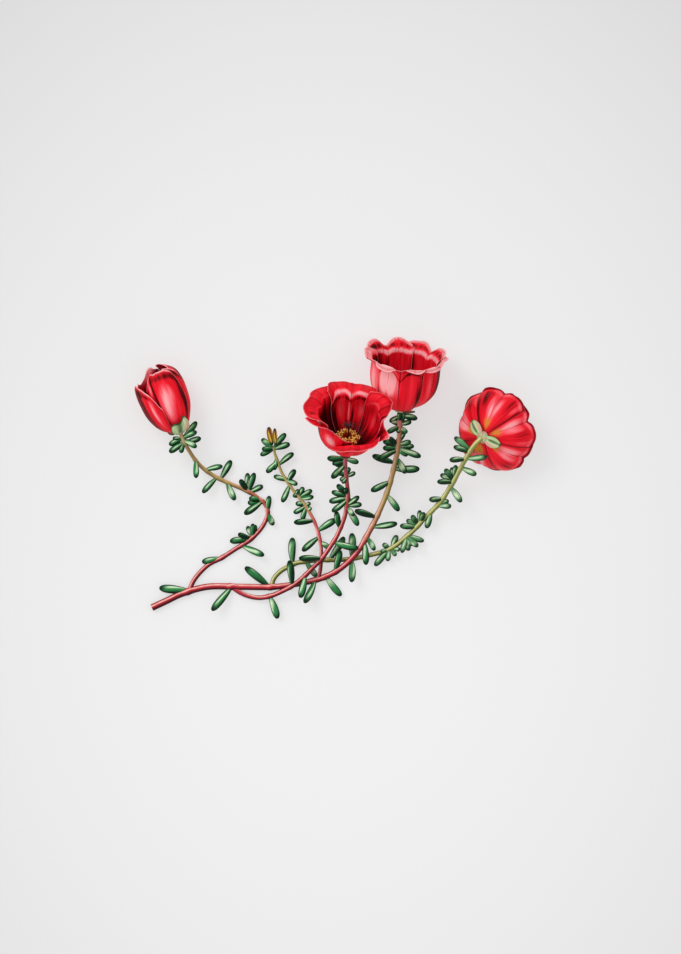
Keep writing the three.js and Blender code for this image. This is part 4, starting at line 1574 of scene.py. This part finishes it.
STEM_PLANS = (
    StemPlan(
        "main_stem", (1.75, 1.2), RED_TO_OLIVE, GREEN,
        (
            (-95.5, -65, 1.45), (-88, -61.5, 1.45), (-80.5, -58, 1.4), (-67.5, -54.5, 1.35),
            (-50.5, -54.5, 1.25), (-33.5, -54.5, 1.2), (-19.5, -52.5, 1.4), (-9.5, -50, 2.2), (0, -45, 3.2),
            (8.5, -36.5, 4.6), (14, -27, 5.2), (19, -17, 5.4), (23.5, -6, 5.6), (26.5, 5, 6.4),
            (28.5, 15, 7.8), (29.5, 25, 9.8), (29.5, 33.6, 10.4),
        ),
        (
            (21, 174, 15.5), (42.5, -130, 15.5), (61.5, 141, 16), (85, -118, 12.5), (90.5, -50, 12.5),
            (95.5, 76, 11.5), (117.5, -87, 12), (120, -61, 8), (125.5, 9, 13), (131, 163, 11.5),
            (143.5, -54, 10.5), (150.5, -154, 11), (157, 1, 13), (160, 161, 12), (163, -59, 9.5),
            (166.5, -152, 11), (167, -32, 6), (167.5, 178, 7.5), (168, -22, 12.5), (168.5, 163, 8),
            (169, 95, 3.5), (169, 136, 6), (169, -3, 8), (169.5, 13, 6.5), (170, 60, 6.5), (178, -113, 3),
            (178.5, -43, 5), (179, -152, 7.5), (179, 147, 5.5), (179.5, 14, 6), (180, 63, 6), (180, 92, 6),
            (184, -150, 6, 0), (184, -12, 9, 0),
        ),
    ),
    StemPlan(
        "left_branch", (1.2, 1), RED_TO_TAN, GREEN,
        (
            (-76.5, -56, 1.4), (-74.5, -51.5, 1.2), (-71, -47, 1.1), (-66.5, -43, 1), (-60.5, -40, 1),
            (-53.5, -35.5, 1), (-47, -31.5, 1), (-42, -27, 1), (-38.5, -22, 1), (-37, -17, 1),
            (-38.5, -12.5, 1), (-42, -9.5, 1), (-46.5, -6.5, 1.1), (-58, -1.5, 1.8), (-64, 1.5, 2.8),
            (-69, 5, 4.4), (-73, 9, 6.4), (-76, 13.5, 8.6), (-78.5, 18, 10.4), (-80.5, 22.5, 10.8),
        ),
        (
            (23.5, -169, 10), (35.5, -23, 12.5), (40.5, -174, 10), (41.5, 157, 7), (42, 114, 6.5),
            (42.5, 92, 7), (42.5, 79, 6.5), (57.5, -64, 7), (57.5, 84, 8.5), (64, -145, 11),
            (64, -175, 7.5), (64.5, 170, 6.5), (72, 25, 7.5), (72.5, 73, 10), (73, 78, 7.5), (73, 122, 7),
            (73.5, 88, 9), (84.5, -64, 10), (88, 61, 11), (90, -132, 10.5), (97, 11, 9), (104, -88, 9),
            (114, 17, 8.5), (114.5, -145, 9), (115.5, -100, 6.5), (116, -32, 8), (116.5, -154, 7.5),
            (116.5, 23, 8), (116.5, 52, 11), (116.5, 177, 5),
        ),
    ),
    StemPlan(
        "front_branch", (1.25, 1.05), ALL_RED, GREEN,
        (
            (-55, -54.5, 1.4), (-51.5, -57, 1.5), (-47, -59, 1.6), (-41.5, -60, 1.9), (-35.5, -59, 3),
            (-29.5, -56.5, 4.6), (-24, -53.5, 5.4), (-19, -49.5, 6.2), (-14.5, -45, 6.8), (-10, -40.5, 7),
            (-6, -35, 7), (-2.5, -29.5, 7.2), (0, -24, 7.6), (2, -18.5, 8.2), (3, -13, 9), (3.5, -7.5, 10),
            (3, -2.5, 11.4), (2.5, 2.5, 13), (2, 8, 14.8), (2.5, 13.5, 16.6),
        ),
        (
            (20.5, -72, 12), (33, 97, 13), (41.5, -103, 11.5), (53.5, 179, 11.5), (63.5, -12, 13),
            (71, 100, 9), (82.5, -60, 11), (83, -54, 6), (83.5, 4, 7.5), (83.5, 38, 7.5), (83.5, 66, 4),
            (86.5, -143, 10), (87, -169, 9.5), (88, 135, 8), (88, 163, 8.5), (88.5, 105, 4), (98, 27, 5),
            (98, -116, 4), (98.5, -142, 4), (99, 62, 4), (99, 167, 4.5), (104, -135, 9.5), (105, -162, 5),
            (105.5, -171, 6.5), (107, -17, 7), (107, 177, 9),
        ),
    ),
    StemPlan(
        "bud_branch", (1.05, 0.65), PINK_TO_OLIVE, GREEN,
        (
            (-11.5, -50.5, 2.1), (-10.5, -46, 2.8), (-10, -40.5, 4), (-10, -35.5, 3.9), (-11, -29.5, 3.2),
            (-12.5, -24, 2.6), (-15.5, -17.5, 2.3), (-19, -12, 2.2), (-23.5, -6.5, 2.2), (-27, -1.5, 2.4),
            (-30, 3.5, 2.8), (-32, 9, 3.2), (-33.5, 13, 3.6), (-34, 16, 4),
        ),
        (
            (19, -36, 6), (21.5, -139, 11), (24.5, 32, 11), (30, -176, 10), (38, -105, 7), (38, -32, 3),
            (38.5, -153, 7), (38.5, 39, 3), (39, 168, 5), (43.5, 8, 7), (44, 31, 7.5), (44.5, 159, 3),
            (44.5, 65, 5.5), (45, 95, 3.5), (52, -114, 9.5), (53.5, 58, 7.5), (54.5, 162, 7), (56, -26, 7),
            (63.5, 37, 9.5), (65.5, -135, 8), (67, -103, 6), (72, 17, 8.5, 10), (72, -155, 7.5, 10),
            (72.5, 50, 9.5, 0), (72, 140, 8, 0), (72, 178, 6, 25),
        ),
    ),
    StemPlan(
        "right_branch", (1.2, 1.15), PALE_OLIVE, PALE_GREEN,
        (
            (-35, -54, 1.2), (-34, -50.5, 1.1), (-31, -47, 1), (-27, -44.5, 1), (-22.5, -42.5, 1),
            (-16.5, -41.5, 1), (-10, -41, 1), (4.5, -40.5, 1.1), (16.5, -38, 1.4), (22, -36.5, 1.8),
            (27, -34, 2.4), (32, -30, 3.2), (37, -25.5, 4.2), (41.5, -20.5, 5.2), (46, -16, 6.2),
            (50.5, -11, 7.6), (54, -5.5, 9.6), (57.5, 0.5, 12.6), (60.5, 6.5, 16.6), (64, 13, 20.8),
            (67, 17.5, 24.6), (70, 20.5, 25.6),
        ),
        (
            (16, 89, 13.5), (22.5, -54, 9.5), (34.5, 58, 14), (46, -92, 11.5), (46, 91, 13),
            (65.5, -162, 4.5), (65.5, -131, 11), (65.5, -98, 6), (66, 143, 4.5), (66.5, -57, 4.5),
            (67, 66, 7), (67.5, -21, 4), (76, -80, 7), (76.5, -107, 8.5), (76.5, -63, 5.5), (77, -44, 7.5),
            (77.5, -19, 8.5), (83.5, 174, 8.5), (84.5, 152, 6.5), (85, 124, 6), (85.5, 91, 7),
            (86.5, 72, 5.5), (94, -107, 8.5), (98.5, -4, 7), (100, 17, 5), (103, -178, 7), (110, -56, 9.5),
            (112.5, 178, 8), (113.5, 155, 7.5), (113.5, 130, 7.5), (114, 105, 6.5), (114.5, 86, 7),
            (121, -26, 8.5), (125.5, -176, 8), (126, 6, 10.5, 28), (129.5, 161, 8.5), (130.5, 141, 10.5),
        ),
    ),
)

# painted highlights and shade in rays from the foot of each petal, a painted dark outline, painted highlights
# on the rim, a painted crease shade and the petal's own gold at the claws
RAYS = (
    glow(-0.14, 0.5, 0.2, 0.32, 0.85), glow(0.2, 0.5, 0.16, 0.3, 0.6), glow(0.8, 0.7, 0.14, 0.2, 0.5),
    glow(0, 0.9, 4, 0.06, 0.4), shade(-0.5, 0.7, 0.26, 0.24, 0.42), shade(0.5, 0.7, 0.24, 0.24, 0.42),
    shade(-0.95, 0.5, 0.12, 0.4, 0.6), Patch(Tone.INK, Side.BOTH, 0, 0.7, 4, 1.5),
    Patch(Tone.GOLD, Side.OUTER, 0, 0.22, 0.35, 0.12, 1.1), lip(0.98, 0.05, 1.2), crease_shade(0.7),
)
# a painted highlight along the rim and a painted crease shade
CUP = (lip(0.97, 0.03, 0.8), crease_shade(0.4))
# a painted highlight on the crest where the rim rolls over, painted shade just past it, and a painted
# highlight on the rim
CREST = (
    Patch(Tone.PINK, Side.INNER, 0, 0.85, 4, 0.035, 1.1, level=True),
    Patch(Tone.MAROON, Side.INNER, 0, 0.925, 4, 0.03, 0.5, level=True), lip(1, 0.04),
)

BLOOM_PLANS = (
    BloomPlan(
        name="left", foot=(-80.5, 22.5, 10.8), axis=(-0.38, 0.92, 0.05),
        section=(
            (1.2, 2.7), (5.5, 3.6), (9, 8), (11.3, 13.5), (12.1, 19), (12.2, 25.5), (10.9, 31.3), (8, 34.6),
            (4, 36.6),
        ),
        notch=0,
        petals=(
            PetalPlan(
                277, (0.68, 0.79, 0.87, 0.845, 0.855, 0.85, 0.83, 0.76, 0.5), 46,
                patches=(
                    glow(-0.15, 0.46, 0.34, 0.24, 0.8), glow(0.1, 0.66, 0.34, 0.16, 0.6),
                    shade(0.2, 0.9, 0.9, 0.05, 0.7), glow(0.2, 0.985, 1.2, 0.02, 1.1),
                    shade(-0.56, 0.6, 0.06, 0.45, 1.3), shade(-0.99, 0.8, 0.1, 0.2, 0.8),
                    glow(-0.72, 0.86, 0.1, 0.14, 0.7), shade(0.75, 0.6, 0.2, 0.45, 0.4),
                ),
            ),
            PetalPlan(
                210, (0.6, 0.76, 0.775, 0.745, 0.7, 0.61, 0.42), 46, lap=(0.9, 0.9),
                patches=(
                    glow(0.55, 0.6, 0.14, 0.3, 0.9), glow(0, 0.985, 4, 0.02, 1.1),
                    shade(-0.25, 0.6, 0.4, 0.5), shade(0.2, 0.9, 0.6, 0.04, 0.6),
                ),
            ),
            PetalPlan(
                316, (0.86, 0.89, 0.9, 0.87, 0.83, 0.74, 0.5), 30, lap=(-1.4, -0.2),
                patches=(glow(0, 0.985, 4, 0.025, 1.2), shade(0, 0.9, 4, 0.05, 0.9)),
            ),
            PetalPlan(
                20, (0.84, 0.92, 0.95, 0.97, 0.98, 1.0, 0.99), 58, lap=(-1.4, 0.5),
                patches=(glow(0, 0.985, 4, 0.02), shade(-0.3, 0.8, 0.6, 0.2, 0.8)),
            ),
            PetalPlan(
                132, (0.94, 0.98, 0.93, 0.83, 0.79, 0.79, 0.8), 57, roll=(0, 0, 60, 20, 0, 0, 0),
                lap=(-0.8, -0.5), patches=(light(-0.35, 0.95, 0.4, 0.07, 0.7), hollow(0, 0.6, 4, 0.24)),
            ),
        ),
        sepals=(287, 107), sepal_length=0.235, sepal_width=54,
        sepal_rim=(0.85, 0.9, 0.86, 0.92, 1.16, 0.92, 0.6), sepal_narrowing=0.45, stamens=24,
        stamen_height=7, stamen_reach=3.2, style=11, ruffle=0.1, pleat=0.25,
        patches=(hollow(0, 0.5, 4, 0.34, 0.9), lip(0.97, 0.03, 0.5)),
    ),
    BloomPlan(
        name="front", foot=(2.5, 13.5, 16.6), axis=(0.08, 0.76, 0.65),
        section=(
            (1.2, 2.7), (5, 3.6), (10, 7), (13.6, 12.5), (15, 18), (15.3, 22.5), (16.4, 25.4), (19.5, 26.8),
            (23.5, 26.4), (26, 25.2),
        ),
        notch=0.03,
        petals=(
            PetalPlan(
                87, (0.8, 0.93, 0.95, 0.91, 0.95, 0.93, 0.8), lap=(0.8, -0.8),
                lift=(9.5, 8.5, 3.5, 0, 0, 0, 0),
                patches=(
                    hollow(0.95, 0.5, 0.2, 0.3, 0.9), hollow(-0.12, 0.5, 0.08, 0.28, 0.7),
                    hollow(-0.95, 0.5, 0.12, 0.3, 0.5), hollow(0, 0.72, 2, 0.03, 0.5),
                    light(0.03, 0.5, 0.05, 0.3, 0.7), light(-0.5, 0.5, 0.26, 0.24, 0.42),
                    light(0.45, 0.5, 0.26, 0.24, 0.42), lip(0.8, 0.035, 0.9),
                ),
            ),
            PetalPlan(
                160, (0.86, 0.93, 0.95, 0.93, 0.93, 0.87, 0.72), 62, lap=(0.8, -0.6),
                patches=(
                    hollow(-0.1, 0.45, 2, 0.25, 1.1), hollow(0.5, 0.9, 0.06, 0.06, 0.8),
                    lip(0.8, 0.03, 0.35),
                ),
            ),
            PetalPlan(
                236, (0.88, 0.8, 0.71, 0.63, 0.58), 41, flare=(4, 1.4, 0, 0, 0), roll=(20, 20),
                lap=(0.9, -0.8),
                patches=(
                    glow(-0.1, 0.7, 0.3, 0.14, 0.9), shade(0.8, 0.75, 0.3, 0.2, 1.1),
                    shade(-0.8, 0.6, 0.2, 0.3, 0.8),
                ),
            ),
            PetalPlan(
                285, (0.56, 0.68, 0.715, 0.69, 0.66, 0.6), 44, roll=(90, 130, 130, 120, 90, 50),
                roll_from=0.73, lap=(0.9, 0.9),
                patches=(shade(-0.4, 0.7, 0.3, 0.2, 0.7), glow(0.5, 0.6, 0.2, 0.2, 0.3)),
            ),
            PetalPlan(
                12, (0.62, 0.68, 0.82, 0.89, 0.91, 0.89, 0.8), 45, flare=(56, 9, 0, 0, 0, 0, 0),
                lap=(0.2, -0.8), lift=(0, 0, 0.5, 4, 7.5, 9, 8.5),
                patches=(
                    lip(0.8, 0.03, 0.35), shade(-0.8, 0.5, 0.4, 0.5, 0.9),
                    hollow(-0.3, 0.5, 0.06, 0.3, 0.6), hollow(-0.38, 0.85, 0.05, 0.2, 1.1),
                    light(-0.48, 0.85, 0.07, 0.3, 0.8), hollow(-0.75, 0.75, 0.2, 0.3, 0.9),
                    light(-0.95, 0.98, 0.15, 0.1), light(0.35, 0.5, 0.3, 0.24, 0.4),
                ),
            ),
        ),
        sepals=(264, 84), sepal_length=0.18, sepal_width=40, stamens=130, stamen_height=9.5,
        stamen_reach=5.8, style=14, ruffle=0.3, patches=(crease_shade(0.5),),
    ),
    BloomPlan(
        name="top", foot=(29.5, 33.6, 10.4), axis=(0.09, 0.93, 0.36),
        section=(
            (1.2, 2.7), (6.6, 3.8), (11.6, 6.9), (15.4, 12), (16.8, 17.5), (17, 23), (16.8, 28), (16.8, 33),
        ),
        notch=0.04,
        petals=(
            PetalPlan(
                262, (0.96, 1.05, 1.06, 0.92, 1.02, 1.03, 0.94), 40, roll=(60, 150, 160, 30, 120, 130, 50),
                roll_from=0.81, lap=(0.9, 0.9),
                patches=(
                    glow(-0.5, 0.7, 0.4, 0.2, 1.9), shade(0.85, 0.6, 0.2, 0.35, 0.45),
                    shade(-0.4, 0.82, 0.5, 0.02, 1.1), shade(0.5, 0.82, 0.3, 0.02, 1.1),
                    shade(0, 0.14, 0.9, 0.1, 0.9), lip(0.92, 0.1, 1.2), crease_shade(0.6),
                ),
            ),
            PetalPlan(
                334, (0.9, 1.0, 1.01, 0.98, 0.99, 0.95), roll=(60, 150, 140, 80, 90, 60), roll_from=0.84,
                patches=(
                    shade(0.4, 0.6, 0.3, 0.4, 1.2), glow(-0.35, 0.6, 0.16, 0.25, 0.5), lip(0.95, 0.07, 1.4),
                    crease_shade(0.7),
                ),
            ),
            PetalPlan(
                46, (0.96, 1.02, 1.03, 0.97, 1.03, 1.02, 0.94), roll=(60, 75, 75, 70, 75, 75, 60),
                roll_from=0.79, patches=(hollow(0.85, 0.6, 0.3, 0.22, 1.2), *CREST),
            ),
            PetalPlan(
                118, (0.94, 1.02, 1.04, 0.97, 1.04, 1.02, 0.94), roll=(60, 75, 75, 70, 75, 75, 60),
                roll_from=0.79, patches=(hollow(0.75, 0.56, 0.6, 0.24, 1.8), *CREST),
            ),
            PetalPlan(
                190, (0.95, 1.0, 1.02, 0.97, 1.0, 0.98, 0.92), roll=(70, 90, 90, 80, 80, 60),
                roll_from=0.82, lap=(-0.8, -0.4),
                patches=(
                    glow(0.3, 0.6, 0.6, 0.35, 0.9), hollow(0, 0.5, 2, 0.35, 1.2), lip(0.92, 0.06, 1.1),
                    shade(0.95, 0.6, 0.14, 0.4),
                ),
            ),
        ),
        sepals=(330, 150), sepal_length=0.17, sepal_width=40, stamens=50, stamen_height=8, stamen_reach=5,
        style=14, ruffle=0.3, patches=CUP,
    ),
    BloomPlan(
        name="right", foot=(70, 20.5, 25.6), axis=(0.45, 0.22, -0.87),
        section=((1.2, 2.7), (6.5, 3.2), (12.5, 5.8), (16.8, 10), (19, 14.5), (20.1, 17.4), (21.2, 18.4)),
        notch=0.04,
        petals=(
            PetalPlan(
                -75, (0.94, 1.0, 0.99, 0.98, 1.0, 0.99, 0.92), 38, lap=(1.0, 0.9),
                roll=(0, 120, 60, 0, 60, 130, 60), roll_from=0.91,
            ),
            PetalPlan(-21, (0.94, 1.0, 0.97, 0.99, 0.94), 40, roll=(0, 100, 0, 120, 0), roll_from=0.91),
            PetalPlan(37, (0.92, 0.98, 1.0, 0.99, 0.92), 44, roll=(0, 130, 110, 0, 0), roll_from=0.91),
            PetalPlan(110, (0.92, 0.99, 0.98, 0.98, 0.92), 53),
            PetalPlan(201, (0.92, 0.98, 0.97, 1.0, 0.94), 54, lap=(-0.8, 0.2)),
        ),
        sepals=(-128, 20), sepal_length=0.3, sepal_width=46, stamens=50, stamen_height=8, stamen_reach=5,
        style=12, ruffle=0.25, patches=RAYS,
    ),
)

BUDS = (
    Bud("bud_large", (-34.9, 17.2, 5.4), (-0.17, 1, 0.3), 9.4, 3),
    Bud("bud_small", (-33, 17, 6.2), (-0.04, 1, 0.45), 9.2, 2.2),
)


# ------------------------------------------------------------------------------------------ studio
@dataclass
class Studio:
    """A plain pale floor, soft light from the upper left and a camera that looks straight down."""

    image: tuple[int, int] = (681, 954)
    mm_per_pixel: float = 0.5
    centre: Point = (3.25, 1.25, 20.0)
    lens: float = 135.0
    floor_size: float = 1.6
    ambient: float = 0.82
    key_place: Point = (-1.5, 1.6, 2.4)
    key_size: float = 1.4
    key_power: float = 32.0
    floor_glow: float = 0.55
    brightest: float = 0.06
    narrowing: float = 1.3
    fading: float = 5.6

    def camera(self) -> None:
        """Makes the camera over the middle of the picture."""
        data = bpy.data.cameras.new("camera")
        data.lens = self.lens
        tall = self.image[1] * self.mm_per_pixel
        x, y, z = self.centre
        bpy.context.scene.camera = show("camera", data)
        bpy.context.scene.camera.location = Vector((x, y, z + tall * self.lens / data.sensor_width)) * MM

    def floor(self) -> None:
        """Makes the floor, which glows a little to soften the shadows on it, with painted shade that makes it
        slightly darker far from the sprig.
        """
        half = self.floor_size / 2
        mesh = bpy.data.meshes.new("floor")
        corners = [(-half, -half, 0), (half, -half, 0), (half, half, 0), (-half, half, 0)]
        mesh.from_pydata(corners, [], [(0, 1, 2, 3)])
        paint = Paint(
            "floor_paper", Roughness=0.9, Specular_IOR_Level=0.1, Emission_Color=(1, 1, 1, 1),
            Emission_Strength=self.floor_glow,
        )
        # painted shade: the floor grows darker further from a point near the middle
        inputs = {"Vector": paint.place, "Location": (0, self.brightest, 0), "Scale": (self.narrowing, 1, 1)}
        place = paint.add("ShaderNodeMapping", inputs)
        share = paint.math("MULTIPLY", paint.dot(place, place), self.fading, clamp=True)
        mesh.materials.append(paint.finish(paint.mix(share, "#9b9b9b", "#5f5f5f")))
        show("floor", mesh)

    def key(self) -> None:
        """Makes the square soft light that shines on the sprig."""
        data = bpy.data.lights.new("key", "AREA")
        data.size, data.energy = self.key_size, self.key_power
        made = show("key", data)
        made.location = self.key_place
        made.rotation_euler = (-Vector(self.key_place)).to_track_quat("-Z", "Y").to_euler()

    def build(self) -> None:
        """Makes the camera, the floor and the lights."""
        self.camera()
        self.floor()
        self.key()
        world = bpy.data.worlds.new("studio")
        world.use_nodes = True
        background = world.node_tree.nodes["Background"].inputs
        background["Color"].default_value = (1, 1, 1, 1)
        background["Strength"].default_value = self.ambient
        bpy.context.scene.world = world
        bpy.context.scene.view_settings.view_transform = "Standard"


# ---------------------------------------------------------------------------------------- patterns
def pattern(name: str, angle: Array, radius: Array, height: Array, arch: Array) -> Object:
    """A bent tube a few millimetres tall that trees copy; it is not linked to the scene.

    Args:
        name: Its name.
        angle: Angles of the points round it.
        radius: Its radius at each point.
        height: The height of each ring.
        arch: How far each ring is moved aside.

    Returns:
        The object, whose points know their share of the height.
    """
    draft = Draft()
    draft.add_rings(rings_about(angle, radius, height, arch), along=height / height[-1])
    return bpy.data.objects.new(name, draft.mesh(name))


def stamen_pattern(anther_from: float = 0.86, thickest: float = 0.4, furrow: float = 0.18) -> Object:
    """One stamen a millimetre tall on the Z axis: an arched filament and a two-lobed anther.

    Args:
        anther_from: The height at which the anther begins.
        thickest: The radius of the anther.
        furrow: How deep its furrows are, as a share of the radius.

    Returns:
        The pattern.
    """
    filament, angle = np.linspace(0, 1, 7), turns(8)
    anther = np.array([(0.08, 0.6), (0.3, 0.95), (0.55, 1), (0.8, 0.85), (0.95, 0.5), (1, 0.1)])
    t = np.concatenate([anther_from * filament, blend(anther_from, 1, anther[:, 0])])[:, None]
    radius = np.concatenate([blend(0.2, 0.14, filament), thickest * anther[:, 1]])[:, None]
    lobes = 1 - furrow * np.cos(2 * angle) * (t > anther_from)
    return pattern("stamen_pattern", angle, radius * lobes, t, 0.7 * np.sin(t * math.pi))


def hair_pattern(length: float = 1.9, radius: float = 0.12) -> Object:
    """One hair on the Z axis."""
    t = np.linspace(0, 1, 4)[:, None]
    return pattern("hair_pattern", turns(3), radius * (1.05 - t), length * t, 0.25 * length * t**2)


def main() -> None:
    """Builds the sprig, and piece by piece."""
    logging.basicConfig(level=logging.INFO, format="%(message)s")
    Studio().build()
    sweep, rings, hairs = SweepTree(), StamenTree(), HairTree()
    stamen, hair = stamen_pattern(), hair_pattern()
    finishes = {
        Slot.PETAL: PetalSilk().material(),
        Slot.SEPAL: SepalSkin().material(),
        Slot.STAMEN: StamenGold().material(),
        Slot.PISTIL: PlainSkin("stigma_maroon", "#4a0a14", "#1c0208").material(),
        Slot.BUD: BudSkin().material(),
    }
    hair_finish = PlainSkin("hair_white", "#f6efe2", "#dcc0ae", 0.6).material()
    for plan in STEM_PLANS:
        LeafyStem(plan, sweep, hairs).build(hair, hair_finish)
    for plan in BLOOM_PLANS:
        Bloom(plan, sweep, rings).build(stamen, finishes)
    for bud in BUDS:
        bud.build(finishes[Slot.BUD])
    for done in (stamen, hair):
        bpy.data.objects.remove(done)


if __name__ == "__main__":
    main()
